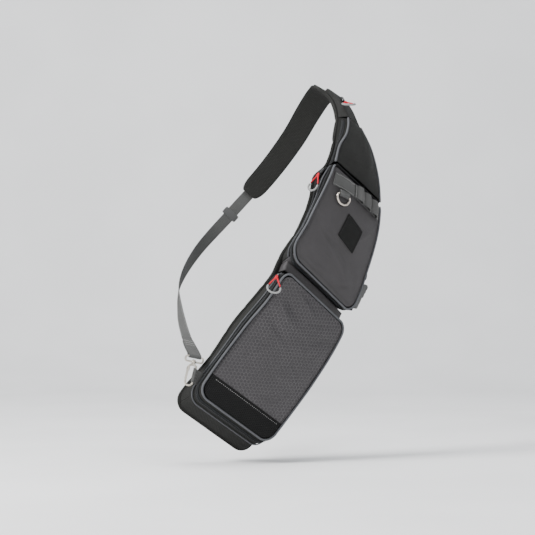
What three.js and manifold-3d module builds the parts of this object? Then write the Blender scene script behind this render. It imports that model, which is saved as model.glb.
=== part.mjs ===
// A fishing tackle sling bag in the form it has when worn: over the right shoulder, across the back and
// round the left side. Millimetres, +Z up, +X to the wearer's right, +Y ahead of the wearer. The origin
// lies under the strap, on top of the shoulder.

import * as THREE from 'three';
import { mergeVertices } from 'three/addons/utils/BufferGeometryUtils.js';
import Module from 'manifold-3d';

const wasm = await Module();
wasm.setup();

// Reach of the worn bag from the top of the shoulder
const SIDE_REACH = 240;
const BACK_REACH = 163;
const BAG_DROP = 712;
const CHEST_REACH = 148;

// Main sizes of the bag, along its back, across it and out from it
const BAG_LENGTH = 817;
const HALF_WIDTH = 100;
const BAG_DEPTH = 80;

// Where each pocket starts and ends on its front, measured along the bag from the shoulder
const SHOULDER_TOP = 110;
const SEAM_AT = 240;
const UPPER_END = 464;
const LOWER_TOP = 487;
const LOWER_END = 770;
const BAND_HEIGHT = 46;

// Cloth, padding and trim
const PADDING = 8;
const CLOTH = 1.6;
const GAP = 0.45;
const SEAM_GAP = 0.9;
const PIPING = 4.4;
const RIB = 3;
const ZIP_THICK = 1.2;
const WEBBING = 25;
const WEBBING_THICK = 1.7;

// Strap
const PAD_WIDTH = 56;
const PAD_LENGTH = 330;
const PAD_THICK = 8;
const SEWN_OVERLAP = 60;
const DOUBLED = 90;

// Hardware
const BADGE = 54;
const RING_WIDTH = 42;
const RING_DROP = 20;
const RING_WIRE = 4.6;
const RING_TAB_WIDTH = 27;
const HOOK_TAB_WIDTH = 26;
const HOOK_TAB_REACH = 20.25;
const HOOK_WIRE = 4.5;
const GATE_WIRE = 3.4;
const BUCKLE_WIDTH = 24;
const RUNNING_GAP = 0.4;

// A table of rows becomes a list of objects with the named columns.
function table(columns, rows) {
  return rows.map((row) => Object.fromEntries(columns.map((name, i) => [name, row[i]])));
}

// The way that the middle of the strap and of the bag's back takes round the body, from the hook up to
// the shoulder and down to the bag's foot. x, y and z are shares of the reaches; turn and fall aim the
// width, in degrees.
const route = table(['x', 'y', 'z', 'turn', 'fall'], [
  [-1.091, -1.536, -0.7621, 200.5, -12],
  [-1.179, -0.920, -0.716, 152, -8],
  [-1.250, -0.380, -0.639, 120, 25],
  [-1.267, 0.203, -0.562, 88, 42],
  [-1.133, 0.676, -0.470, 50, 44],
  [-0.833, 0.960, -0.351, 12, 42],
  [-0.500, 1.000, -0.225, 0, 38],
  [-0.267, 0.838, -0.121, 2, 34],
  [-0.133, 0.568, -0.048, 8, 30],
  [-0.042, 0.243, -0.006, 14, 27],
  [0.000, 0.000, 0.000, 20, 26],
  [0.117, -0.270, -0.051, 46, 26],
  [0.179, -0.491, -0.152, 54, 20],
  [0.154, -0.601, -0.298, 47, 30],
  [-0.050, -0.687, -0.475, 40, 38],
  [-0.200, -0.798, -0.584, 34, 38],
  [-0.500, -0.896, -0.753, 26, 36],
  [-0.900, -0.982, -0.952, 24, 35],
  [-1.000, -1.000, -1.000, 24, 35],
]);
const SHOULDER_ROW = 10;

// Outline of the bag at places along it, as shares of BAG_LENGTH, HALF_WIDTH and BAG_DEPTH
const outline = table(['at', 'frontLeft', 'frontRight', 'backLeft', 'backRight', 'depth'], [
  [0.000, 0.27, 0.27, 0.28, 0.28, 0.16],
  [0.080, 0.27, 0.27, 0.27, 0.27, 0.24],
  [0.135, 0.24, 0.24, 0.34, 0.30, 0.32],
  [0.185, 0.48, 0.48, 0.52, 0.44, 0.40],
  [0.240, 0.84, 0.63, 0.62, 0.56, 0.48],
  [0.294, 0.93, 0.72, 0.76, 0.66, 0.55],
  [0.340, 1.00, 0.79, 0.97, 0.68, 0.63],
  [0.392, 1.06, 0.82, 0.84, 0.70, 0.73],
  [0.470, 1.10, 0.83, 0.78, 0.76, 0.85],
  [0.568, 1.11, 0.82, 0.86, 0.80, 0.95],
  [0.600, 1.00, 0.85, 0.82, 0.82, 0.97],
  [0.650, 0.96, 0.88, 0.86, 0.84, 0.99],
  [0.750, 1.01, 0.89, 0.96, 0.86, 1.00],
  [0.857, 1.04, 0.86, 0.96, 0.84, 0.99],
  [0.943, 1.03, 0.83, 1.03, 0.82, 0.98],
  [1.000, 1.02, 0.82, 1.04, 0.84, 0.96],
]);

// Cubic through the rows of a table, at a place along the bag
function along(column, s) {
  const x = THREE.MathUtils.clamp(s / BAG_LENGTH, 0, 1);
  const last = outline.length - 1;
  let i = 0;
  while (i < last - 1 && outline[i + 1].at < x) i += 1;
  const slope = (k) => (outline[k + 1][column] - outline[k][column]) / (outline[k + 1].at - outline[k].at);
  const tangent = (k) => {
    if (k === 0) return slope(0);
    if (k === last) return slope(last - 1);
    const before = outline[k].at - outline[k - 1].at;
    const after = outline[k + 1].at - outline[k].at;
    return (slope(k) * before + slope(k - 1) * after) / (before + after);
  };
  const step = outline[i + 1].at - outline[i].at;
  const t = (x - outline[i].at) / step;
  const t2 = t * t;
  return outline[i][column] * (1 + 2 * t) * (1 - t) ** 2
    + tangent(i) * step * t * (1 - t) ** 2
    + outline[i + 1][column] * t2 * (3 - 2 * t)
    + tangent(i + 1) * step * t2 * (t - 1);
}

const depthAt = (s) => BAG_DEPTH * along('depth', s);
const frontEdge = (s, side) => side * HALF_WIDTH * along(side < 0 ? 'frontLeft' : 'frontRight', s);
const backEdge = (s, side) => side * HALF_WIDTH * along(side < 0 ? 'backLeft' : 'backRight', s);

// The route as evenly listed samples, each with its place, its way along, its width and its way out
function sampleRoute() {
  const reach = (row) => new THREE.Vector3(
    row.x * SIDE_REACH,
    row.y * (row.y > 0 ? CHEST_REACH : BACK_REACH),
    row.z * BAG_DROP,
  );
  const middle = new THREE.CatmullRomCurve3(route.map(reach), false, 'centripetal');
  const aim = new THREE.CatmullRomCurve3(
    route.map((row) => new THREE.Vector3(row.turn, row.fall, 0)), false, 'catmullrom', 0.5,
  );
  const perRow = 40;
  const count = (route.length - 1) * perRow;
  const samples = [];
  let length = 0;
  for (let i = 0; i <= count; i += 1) {
    const t = i / count;
    const place = middle.getPoint(t);
    const way = middle.getTangent(t);
    const angles = aim.getPoint(t);
    const turn = THREE.MathUtils.degToRad(angles.x);
    const fall = THREE.MathUtils.degToRad(angles.y);
    const width = new THREE.Vector3(
      Math.cos(turn) * Math.cos(fall), Math.sin(turn) * Math.cos(fall), -Math.sin(fall),
    );
    const out = new THREE.Vector3().crossVectors(way, width).normalize();
    if (i > 0) length += place.distanceTo(samples[i - 1].place);
    samples.push({ s: length, place, way, width, out });
  }
  const shoulder = samples[SHOULDER_ROW * perRow].s;
  for (const sample of samples) sample.s -= shoulder;
  return samples;
}
const samples = sampleRoute();
const STRAP_END = samples[0].s;

// Place, way, width and way out at a distance s along the route, 0 at the shoulder and negative down the
// chest
function routeAt(s) {
  let low = 0;
  let high = samples.length - 1;
  while (high - low > 1) {
    const mid = (low + high) >> 1;
    if (samples[mid].s <= s) low = mid;
    else high = mid;
  }
  const a = samples[low];
  const b = samples[high];
  const t = THREE.MathUtils.clamp((s - a.s) / (b.s - a.s), 0, 1);
  const mix = (key) => a[key].clone().lerp(b[key], t);
  return { place: mix('place'), way: mix('way'), width: mix('width'), out: mix('out').normalize() };
}

// A point of the worn bag: s along it, a across it and n out from the wearer
function worn(s, a, n) {
  const at = routeAt(s);
  const past = Math.max(0, s - samples[samples.length - 1].s) + Math.min(0, s - STRAP_END);
  return at.place.addScaledVector(at.way, past).addScaledVector(at.width, a).addScaledVector(at.out, n);
}

// A rigid frame standing on the worn bag: y along it, z out and x to its left
function frameAt(s, a, n) {
  const at = routeAt(s);
  const z = at.out;
  const y = at.way.clone().addScaledVector(z, -at.way.dot(z)).normalize();
  const x = new THREE.Vector3().crossVectors(y, z);
  return new THREE.Matrix4().makeBasis(x, y, z).setPosition(worn(s, a, n));
}

// Materials, one for each piece
const finish = {
  shoulderCloth: [0x3c3c3a, 0.9],
  pocketCloth: [0x504e4f, 0.8],
  bandCloth: [0x202020, 0.85],
  mesh: [0x282826, 0.95],
  piping: [0x64666a, 0.7],
  zip: [0x3a3b3d, 0.75],
  webbing: [0x696967, 0.85],
  blackWebbing: [0x1b1b1b, 0.85],
  badge: [0x1c1c1b, 0.7],
  plastic: [0x4c4c4b, 0.55],
  slider: [0x151515, 0.45],
  cord: [0xc82332, 0.7],
  gripRing: [0x828282, 0.5],
  metal: [0xbeb2a5, 0.35, 0.9],
  nickel: [0xafa89b, 0.35, 0.9],
};
const bag = new THREE.Group();

function add(name, geometry, look) {
  const [color, roughness, metalness = 0] = finish[look];
  const mesh = new THREE.Mesh(geometry, new THREE.MeshStandardMaterial({ color, roughness, metalness }));
  mesh.name = name;
  bag.add(mesh);
  return mesh;
}

// Closed meshes from points and triangles, turned to face out
function closed(points, triangles) {
  let volume = 0;
  for (const [a, b, c] of triangles) {
    volume += points[a].dot(new THREE.Vector3().crossVectors(points[b], points[c]));
  }
  const order = volume < 0 ? triangles.map(([a, b, c]) => [a, c, b]) : triangles;
  const geometry = new THREE.BufferGeometry();
  geometry.setAttribute('position', new THREE.Float32BufferAttribute(points.flatMap((p) => p.toArray()), 3));
  geometry.setIndex(order.flat());
  return geometry;
}

// A sheet with a thickness: rows of pairs, each an outer and an inner point
function slab(rows) {
  const across = rows[0].length;
  const points = rows.flat().flatMap(([outer, inner]) => [outer, inner]);
  const id = (i, j, side) => 2 * (i * across + j) + side;
  const triangles = [];
  const quad = (a, b, c, d) => triangles.push([a, b, c], [a, c, d]);
  for (let i = 0; i < rows.length - 1; i += 1) {
    for (let j = 0; j < across - 1; j += 1) {
      quad(id(i, j, 0), id(i, j + 1, 0), id(i + 1, j + 1, 0), id(i + 1, j, 0));
      quad(id(i, j, 1), id(i + 1, j, 1), id(i + 1, j + 1, 1), id(i, j + 1, 1));
    }
    quad(id(i, 0, 0), id(i + 1, 0, 0), id(i + 1, 0, 1), id(i, 0, 1));
    quad(id(i, across - 1, 0), id(i, across - 1, 1), id(i + 1, across - 1, 1), id(i + 1, across - 1, 0));
  }
  for (let j = 0; j < across - 1; j += 1) {
    const last = rows.length - 1;
    quad(id(0, j, 0), id(0, j, 1), id(0, j + 1, 1), id(0, j + 1, 0));
    quad(id(last, j, 0), id(last, j + 1, 0), id(last, j + 1, 1), id(last, j, 1));
  }
  return closed(points, triangles);
}

// Evenly spaced numbers from one to another
function steps(from, to, count) {
  return Array.from({ length: count + 1 }, (_, i) => from + ((to - from) * i) / count);
}

// A sheet over a rectangle of s and r: flat(s, r) gives a and n of its outer side, and thick goes inwards
function sheet(sList, rList, flat, thick) {
  return slab(sList.map((s) => rList.map((r) => {
    const { a, n } = flat(s, r);
    return [worn(s, a, n), worn(s, a, n - thick)];
  })));
}

// Joining and cutting closed meshes
function solid(geometry) {
  const bare = geometry.clone();
  bare.deleteAttribute('normal');
  bare.deleteAttribute('uv');
  const merged = mergeVertices(bare, 1e-3);
  return new wasm.Manifold(new wasm.Mesh({
    numProp: 3,
    vertProperties: new Float32Array(merged.attributes.position.array),
    triVerts: new Uint32Array(merged.index.array),
  }));
}

function toGeometry(manifold) {
  const mesh = manifold.getMesh();
  const geometry = new THREE.BufferGeometry();
  geometry.setAttribute('position', new THREE.BufferAttribute(mesh.vertProperties, 3));
  geometry.setIndex(new THREE.BufferAttribute(mesh.triVerts, 1));
  return geometry;
}

// A box with its corners rounded in plan, standing on z = 0
function roundedBlock(width, length, height, radius, corners = 3) {
  const shape = new THREE.Shape();
  const w = width / 2 - radius;
  const l = length / 2 - radius;
  shape.absarc(w, l, radius, 0, Math.PI / 2);
  shape.absarc(-w, l, radius, Math.PI / 2, Math.PI);
  shape.absarc(-w, -l, radius, Math.PI, 1.5 * Math.PI);
  shape.absarc(w, -l, radius, 1.5 * Math.PI, 2 * Math.PI);
  return new THREE.ExtrudeGeometry(shape, { depth: height, bevelEnabled: false, curveSegments: corners });
}

// Pockets. Each has a front from top to end, a back from backTop to backEnd, a crown on its front, and
// round corners.
const pockets = {
  shoulder: {
    top: SHOULDER_TOP, end: SEAM_AT - 3, backTop: SHOULDER_TOP - 8, backEnd: SEAM_AT - 3,
    crown: 9, topCorner: 12, endCorner: 0,
  },
  upper: {
    top: SEAM_AT + 3, end: UPPER_END, backTop: SEAM_AT + 3, backEnd: UPPER_END + 8,
    crown: 13, topCorner: 8, endCorner: 26,
  },
  lower: {
    top: LOWER_TOP, end: LOWER_END, backTop: LOWER_TOP - 6, backEnd: BAG_LENGTH - 5,
    crown: 12, topCorner: 20, endCorner: 26,
  },
};

// Folds and dents of the fronts: p down the pocket and r across it are shares, angle is from across in
// degrees, reach, spread and rise are shares of HALF_WIDTH, and a negative rise is a dent.
const folds = {
  shoulder: table(['p', 'r', 'angle', 'reach', 'spread', 'rise'], [
    [0.62, 0.20, 55, 0.50, 0.14, 0.025],
  ]),
  upper: table(['p', 'r', 'angle', 'reach', 'spread', 'rise'], [
    [0.80, 0.35, -28, 0.60, 0.12, 0.022],
    [0.93, 0.10, -12, 0.55, 0.10, -0.022],
  ]),
  lower: table(['p', 'r', 'angle', 'reach', 'spread', 'rise'], [
    [0.14, -0.55, -20, 0.42, 0.10, -0.045],
    [0.24, -0.50, -14, 0.40, 0.09, 0.030],
    [0.31, -0.62, -16, 0.32, 0.09, -0.045],
    [0.40, -0.70, -10, 0.28, 0.09, 0.030],
    [0.20, 0.60, 38, 0.50, 0.10, -0.030],
    [0.74, 0.25, 12, 0.55, 0.10, -0.025],
  ]),
};

// How far the front of a pocket stands out, at p down it and r across it
function frontOut(name, p, r) {
  const pocket = pockets[name];
  const s = THREE.MathUtils.lerp(pocket.top, pocket.end, p);
  const swell = (1 - Math.abs(2 * p - 1) ** 3) * (1 - r * r);
  let out = depthAt(s) + pocket.crown * swell;
  for (const fold of folds[name]) {
    const angle = THREE.MathUtils.degToRad(fold.angle);
    const x = ((r - fold.r) * (frontEdge(s, 1) - frontEdge(s, -1))) / 2;
    const y = (p - fold.p) * (pocket.end - pocket.top);
    const lengthwise = (x * Math.cos(angle) - y * Math.sin(angle)) / (fold.reach * HALF_WIDTH);
    const sideways = (x * Math.sin(angle) + y * Math.cos(angle)) / (fold.spread * HALF_WIDTH);
    const fade = Math.min(1, 2 * (1 - Math.abs(r)));
    out += fold.rise * HALF_WIDTH * fade * Math.exp(-(lengthwise ** 2) - sideways ** 2);
  }
  return out;
}

// The outer side of a pocket's front at s along the bag and a across it
function frontAt(name, s, a) {
  const pocket = pockets[name];
  const p = (s - pocket.top) / (pocket.end - pocket.top);
  const across = a / Math.abs(frontEdge(s, Math.sign(a) || 1));
  return frontOut(name, THREE.MathUtils.clamp(p, 0, 1), across) + CLOTH / 2;
}

// Share of the half width that is left at p, where the corners of a pocket are rounded
function cornerShare(pocket, p) {
  const radius = p < 0.5 ? pocket.topCorner : pocket.endCorner;
  if (radius === 0) return 1;
  const reach = radius / (pocket.end - pocket.top);
  const into = Math.max(0, reach - Math.min(p, 1 - p)) / reach;
  return 1 - (radius / HALF_WIDTH) * (1 - Math.sqrt(Math.max(0, 1 - into * into)));
}

// Part of the front of a pocket, from p = from to p = to, in rows that lie closer together at its corners
function frontPanel(name, from, to, count, columns) {
  const pocket = pockets[name];
  const inset = (PIPING / 2 + SEAM_GAP) / (pocket.end - pocket.top);
  const near = [0, 0.02, 0.055, ...steps(0.1, 0.9, count), 0.945, 0.98, 1];
  const rows = near.filter((p) => p > from + 0.01 && p < to - 0.01);
  return slab([from, ...rows, to].map((share) => {
    const p = THREE.MathUtils.lerp(inset, 1 - inset, share);
    const s = THREE.MathUtils.lerp(pocket.top, pocket.end, p);
    const corner = cornerShare(pocket, share);
    return steps(-1, 1, columns).map((r) => {
      const edge = frontEdge(s, Math.sign(r) || 1);
      const lean = Math.hypot(1, (frontEdge(s + 1, Math.sign(r) || 1) - edge));
      const a = Math.abs(r) * (edge * corner - Math.sign(edge) * lean * (PIPING / 2 + SEAM_GAP));
      const n = frontOut(name, p, r * corner) + CLOTH / 2;
      return [worn(s, a, n), worn(s, a, n - CLOTH)];
    });
  }));
}

// The outline of a pocket: places p and r from the middle of its top round by the left, the end and the
// right, and the places in the list where a corner is half turned
function pocketRing(name, sideCount, endCount, cornerCount) {
  const pocket = pockets[name];
  const length = pocket.end - pocket.top;
  const points = [{ p: 0, r: 0 }];
  const halfTurned = [];
  const corner = (radius, p, r, start) => {
    const rp = radius / length;
    const rr = radius / HALF_WIDTH;
    const turns = radius === 0 ? [start + Math.PI / 4] : steps(start, start + Math.PI / 2, cornerCount);
    halfTurned.push(points.length + (turns.length - 1) / 2);
    for (const turn of turns) {
      const cp = p === 0 ? rp : 1 - rp;
      const cr = r < 0 ? -1 + rr : 1 - rr;
      points.push(radius === 0 ? { p, r } : { p: cp - rp * Math.cos(turn), r: cr - rr * Math.sin(turn) });
    }
  };
  const edge = (p, r, count) => {
    const from = points[points.length - 1];
    for (const t of steps(0, 1, count).slice(1, -1)) {
      points.push({ p: THREE.MathUtils.lerp(from.p, p, t), r: THREE.MathUtils.lerp(from.r, r, t) });
    }
  };
  const inR = (radius) => 1 - radius / HALF_WIDTH;
  const inP = (radius) => radius / length;
  edge(0, -inR(pocket.topCorner), endCount / 2);
  corner(pocket.topCorner, 0, -1, 0);
  edge(1 - inP(pocket.endCorner), -1, sideCount);
  corner(pocket.endCorner, 1, -1, Math.PI / 2);
  edge(1, inR(pocket.endCorner), endCount);
  corner(pocket.endCorner, 1, 1, Math.PI);
  edge(inP(pocket.topCorner), 1, sideCount);
  corner(pocket.topCorner, 0, 1, 1.5 * Math.PI);
  edge(0, 0, endCount / 2);
  return { name, points, halfTurned };
}

// Where the wall of a pocket stands at a place of its outline: t goes from its front edge, 0, to the
// back panel, 1
function wallPlace(name, { p, r }, t) {
  const pocket = pockets[name];
  const side = r < 0 ? -1 : 1;
  const sFront = THREE.MathUtils.lerp(pocket.top, pocket.end, p);
  const sBack = THREE.MathUtils.lerp(pocket.backTop, pocket.backEnd, p);
  const nFront = depthAt(sFront) - PIPING / 2 - GAP;
  return {
    s: THREE.MathUtils.lerp(sFront, sBack, t),
    a: Math.abs(r) * THREE.MathUtils.lerp(frontEdge(sFront, side), backEdge(sBack, side), t),
    n: THREE.MathUtils.lerp(nFront, PADDING + GAP, t),
  };
}

// The same place moved out of the pocket, square to its outline, and moved along the outline by shift
function wallPoint(ring, i, t, lift, shift = 0) {
  const count = ring.points.length;
  const at = (k) => wallPlace(ring.name, ring.points[(k + count) % count], t);
  const here = at(i);
  const before = at(i - 1);
  const after = at(i + 1);
  const ds = after.s - before.s;
  const da = after.a - before.a;
  const length = Math.hypot(ds, da);
  return worn(
    here.s + (lift * da + shift * ds) / length,
    here.a + (shift * da - lift * ds) / length,
    here.n,
  );
}

// A strip of wall from one place of the outline to another, between two shares of its depth
function wallStrip(ring, from, to, tList, lift, thick) {
  const places = steps(from, to, to - from);
  return slab(places.map((i) => {
    const shift = (i === from ? GAP / 2 : 0) - (i === to ? GAP / 2 : 0);
    return tList.map((t) => [lift + thick, lift].map((out) => wallPoint(ring, i, t, out, shift)));
  }));
}

// A round cord through the given points, with a section square to it at each of them
function pipe(points, diameter, sides, isLoop) {
  const count = points.length;
  const neighbour = (k) => points[isLoop ? (k + count) % count : THREE.MathUtils.clamp(k, 0, count - 1)];
  const middle = points.reduce((sum, p) => sum.add(p), new THREE.Vector3()).divideScalar(count);
  let up = null;
  const ringOfPoints = points.map((point, k) => {
    const way = neighbour(k + 1).clone().sub(neighbour(k - 1)).normalize();
    if (!up) up = point.clone().sub(middle);
    up.addScaledVector(way, -up.dot(way)).normalize();
    const sideways = new THREE.Vector3().crossVectors(way, up);
    return steps(0, 2 * Math.PI, sides).slice(0, sides).map((angle) => point.clone()
      .addScaledVector(up, (diameter / 2) * Math.cos(angle))
      .addScaledVector(sideways, (diameter / 2) * Math.sin(angle)));
  });
  const triangles = [];
  const id = (k, j) => (k % count) * sides + (j % sides);
  for (let k = 0; k < (isLoop ? count : count - 1); k += 1) {
    for (let j = 0; j < sides; j += 1) {
      triangles.push([id(k, j), id(k, j + 1), id(k + 1, j + 1)], [id(k, j), id(k + 1, j + 1), id(k + 1, j)]);
    }
  }
  for (let j = 1; !isLoop && j < sides - 1; j += 1) {
    triangles.push([id(0, 0), id(0, j + 1), id(0, j)]);
    triangles.push([id(count - 1, 0), id(count - 1, j), id(count - 1, j + 1)]);
  }
  return closed(ringOfPoints.flat(), triangles);
}

// The rings of the three pockets
const lowerRing = pocketRing('lower', 9, 6, 4);
const upperRing = pocketRing('upper', 8, 6, 4);
const shoulderRing = pocketRing('shoulder', 6, 4, 2);

// Padded back panel, a little wider than the pockets that stand on it, with round corners at its foot
function backPanel() {
  const LIP = 3;
  const FOOT_CORNER = 30;
  const list = [...steps(4, BAG_LENGTH - FOOT_CORNER, 32), ...[0.35, 0.62, 0.82, 0.95, 1]
    .map((share) => BAG_LENGTH - FOOT_CORNER * (1 - share))];
  return sheet(list, steps(-1, 1, 8), (s, r) => {
    const into = Math.max(0, s - (BAG_LENGTH - FOOT_CORNER)) / FOOT_CORNER;
    const cut = FOOT_CORNER * (1 - Math.sqrt(1 - into * into));
    const side = Math.sign(r) || 1;
    const a = Math.abs(r) * (backEdge(s, side) + side * (LIP - cut));
    return { a, n: PADDING };
  }, PADDING);
}

add('back_panel', backPanel(), 'mesh');

// Fronts of the pockets, and the dark band across the foot of the lower one
const bandShare = 1 - BAND_HEIGHT / (LOWER_END - LOWER_TOP);
const bandGap = GAP / (LOWER_END - LOWER_TOP);
add('shoulder_front_panel', frontPanel('shoulder', 0, 1, 7, 8), 'shoulderCloth');
add('upper_front_panel', frontPanel('upper', 0, 1, 8, 10), 'pocketCloth');
add('lower_front_panel', frontPanel('lower', 0, bandShare, 12, 12), 'pocketCloth');
add('lower_band', frontPanel('lower', bandShare + bandGap, 1, 12, 12), 'bandCloth');

// Shares of a wall's depth at which its zips lie, and where its rib lies
const zipShares = { shoulder: [0.25, 0.62], upper: [0.10, 0.26], lower: [0.14, 0.28] };
const MAIN_ZIP = [0.70, 0.84];
const ribShares = { upper: 0.40, lower: 0.42 };

// Walls of the pockets
const [lowerA, lowerB, lowerC, lowerD] = lowerRing.halfTurned;
const lowerCount = lowerRing.points.length;
const lowerDepth = [0, ...zipShares.lower, ribShares.lower, 1];
add('lower_side_left', wallStrip(lowerRing, lowerA, lowerB, lowerDepth, -CLOTH, CLOTH), 'mesh');
add('lower_foot', wallStrip(lowerRing, lowerB, lowerC, lowerDepth, -CLOTH, CLOTH), 'mesh');
add('lower_side_right', wallStrip(lowerRing, lowerC, lowerD, lowerDepth, -CLOTH, CLOTH), 'mesh');
add('lower_top_wall', wallStrip(lowerRing, lowerD, lowerCount + lowerA, [0, 1], -CLOTH, CLOTH), 'mesh');

const [upperA, upperB, upperC, upperD] = upperRing.halfTurned;
const upperDepth = [0, ...zipShares.upper, ribShares.upper, ...MAIN_ZIP, 1];
add('upper_side_left', wallStrip(upperRing, upperA, upperB, upperDepth, -CLOTH, CLOTH), 'mesh');
const upperPlain = [0, ...zipShares.upper, 1];
add('upper_foot', wallStrip(upperRing, upperB, upperC, upperPlain, -CLOTH, CLOTH), 'pocketCloth');
add('upper_side_right', wallStrip(upperRing, upperC, upperD, upperPlain, -CLOTH, CLOTH), 'mesh');

const [shoulderA, shoulderB, shoulderC, shoulderD] = shoulderRing.halfTurned;
const shoulderDepth = [0, ...zipShares.shoulder, 1];
const shoulderWall = (from, to) => wallStrip(shoulderRing, from, to, shoulderDepth, -CLOTH, CLOTH);
add('shoulder_side_left', shoulderWall(shoulderA, shoulderB), 'mesh');
add('shoulder_side_right', shoulderWall(shoulderC, shoulderD), 'mesh');

// Piping along the front edges
const pipingPoint = (name, { p, r }) => {
  const pocket = pockets[name];
  const s = THREE.MathUtils.lerp(pocket.top, pocket.end, p);
  return worn(s, Math.abs(r) * frontEdge(s, r < 0 ? -1 : 1), depthAt(s));
};
const pipingRun = (ring, from, to) => steps(from, to, to - from)
  .map((i) => pipingPoint(ring.name, ring.points[i % ring.points.length]));
const piping = (points, isLoop = false) => pipe(points, PIPING, 5, isLoop);
add('lower_piping', piping(pipingRun(lowerRing, 0, lowerCount - 1), true), 'piping');
add('upper_piping', piping(pipingRun(upperRing, upperA, upperD)), 'piping');
add('shoulder_piping_left', piping(pipingRun(shoulderRing, shoulderA, shoulderB)), 'piping');
add('shoulder_piping_right', piping(pipingRun(shoulderRing, shoulderC, shoulderD)), 'piping');

// The end of the bag above the shoulder pocket: a hood of cloth that thins towards the strap. Its inner
// side is set in from the outer one, downwards under the top and sideways along the walls.
function topHood() {
  const HOOD_TOP = 34;
  const WALL_SHARE = 0.7;
  const shares = [-1, -WALL_SHARE, -WALL_SHARE / 2, 0, WALL_SHARE / 2, WALL_SHARE, 1];
  return slab(steps(0, 1, 6).map((share) => shares.map((r) => {
    const side = Math.sign(r) || 1;
    const end = Math.abs(r) === 1 ? pockets.shoulder.backTop - CLOTH : SHOULDER_TOP - GAP;
    const s = THREE.MathUtils.lerp(HOOD_TOP, end, share);
    const rim = backEdge(s, side);
    const shoulder = Math.min(Math.abs(frontEdge(s, side)), Math.abs(rim)) * side;
    const t = Math.abs(r);
    const top = depthAt(s) + CLOTH / 2;
    const foot = PADDING + GAP;
    const a = t === 1 ? rim : (shoulder * t) / WALL_SHARE;
    const n = t === 1 ? foot : top - (t === WALL_SHARE ? CLOTH : 0);
    const inwards = side * CLOTH * Math.min(1, t / WALL_SHARE);
    return [worn(s, a, n), worn(s, a - inwards, t === 1 ? foot : n - CLOTH)];
  })));
}
add('top_hood', topHood(), 'shoulderCloth');

// Zips: a flat band with its coil round each pocket, and a thin rib beside it
const zip = (ring, from, to) => wallStrip(ring, from, to, zipShares[ring.name], GAP, ZIP_THICK);
const rib = (ring, from, to) => {
  const places = steps(from, to, to - from);
  return pipe(places.map((i) => wallPoint(ring, i, ribShares[ring.name], GAP + RIB / 2)), RIB, 4, false);
};
add('lower_zip', zip(lowerRing, lowerA, lowerD), 'zip');
add('lower_rib', rib(lowerRing, lowerA, lowerD), 'piping');
add('upper_zip', zip(upperRing, upperA, upperD), 'zip');
add('upper_rib', rib(upperRing, upperA, upperB), 'piping');
add('shoulder_zip', zip(shoulderRing, shoulderA + 1, shoulderB), 'zip');
add('main_zip', wallStrip(upperRing, upperA, upperB - 2, MAIN_ZIP, GAP, ZIP_THICK), 'zip');

// Share of the bag's width that the pieces between two pockets take
const ACROSS_SHARE = 0.93;

// Grey band in the valley between the two pockets
function valleyBand() {
  const VALLEY_DEPTH = 60;
  const FROM_UPPER = 4.8;
  const FROM_LOWER = 3.6;
  const from = UPPER_END + FROM_UPPER;
  const to = LOWER_TOP - FROM_LOWER;
  return sheet(steps(from, to, 2), steps(-ACROSS_SHARE, ACROSS_SHARE, 8), (s, r) => {
    const side = Math.sign(r) || 1;
    const a = Math.abs(r) * THREE.MathUtils.lerp(frontEdge(s, side), backEdge(s, side), 0.25);
    return { a, n: VALLEY_DEPTH * (1 - 0.1 * r * r) };
  }, CLOTH);
}
add('valley_band', valleyBand(), 'pocketCloth');

// Dark seam between the shoulder cloth and the upper pocket
const SEAM_CORD = 3.2;
const SEAM_CORD_LIFT = 0.2;
add('seam_cord', pipe(steps(-ACROSS_SHARE, ACROSS_SHARE, 10).map((r) => {
  const a = Math.abs(r) * frontEdge(SEAM_AT, Math.sign(r) || 1);
  return worn(SEAM_AT, a, depthAt(SEAM_AT) + SEAM_CORD_LIFT);
}), SEAM_CORD, 5, false), 'blackWebbing');

// Webbing across the upper pocket, with raised loops of a second layer sewn to it. Its left end sweeps
// down.
const STRIP_TOP = 247;
const STRIP_LEFT = -89;
const STRIP_RIGHT = 66;
const STRIP_SWEEP = 0.0013;
const LOOP_LEFT = -25;
const LOOP_COUNT = 3;
const LOOP_PITCH = 27;
const LOOP_FLAT = 5;
const LOOP_RISE = 8;
const LAID = 0.5;
const stripEnd = STRIP_TOP + WEBBING;
const loopEnd = LOOP_LEFT + LOOP_COUNT * LOOP_PITCH;
const stripSweep = (a) => STRIP_SWEEP * Math.min(0, a) ** 2;

function overFront(name, sList, aList, lift, thick) {
  return slab(sList.map((s) => aList.map((a) => {
    const at = s + stripSweep(a);
    const n = frontAt(name, at, a) + lift(a);
    return [worn(at, a, n + thick), worn(at, a, n)];
  })));
}

const loopShares = [0, 0.1, 0.3, 0.5, 0.7, 0.9];
const loopPlaces = steps(0, LOOP_COUNT - 1, LOOP_COUNT - 1)
  .flatMap((k) => [LOOP_LEFT + k * LOOP_PITCH, ...loopShares
    .map((share) => LOOP_LEFT + k * LOOP_PITCH + LOOP_FLAT + share * (LOOP_PITCH - LOOP_FLAT))]);
const stripPlaces = [
  ...steps(STRIP_LEFT, LOOP_LEFT, 4), ...loopPlaces.slice(1), loopEnd, loopEnd + LOOP_FLAT, STRIP_RIGHT,
];
const stripMiddle = (STRIP_TOP + stripEnd) / 2;
const stripRows = [STRIP_TOP, stripMiddle, stripEnd];
add('loop_strip', overFront('upper', stripRows, stripPlaces, () => LAID, WEBBING_THICK), 'webbing');

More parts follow.
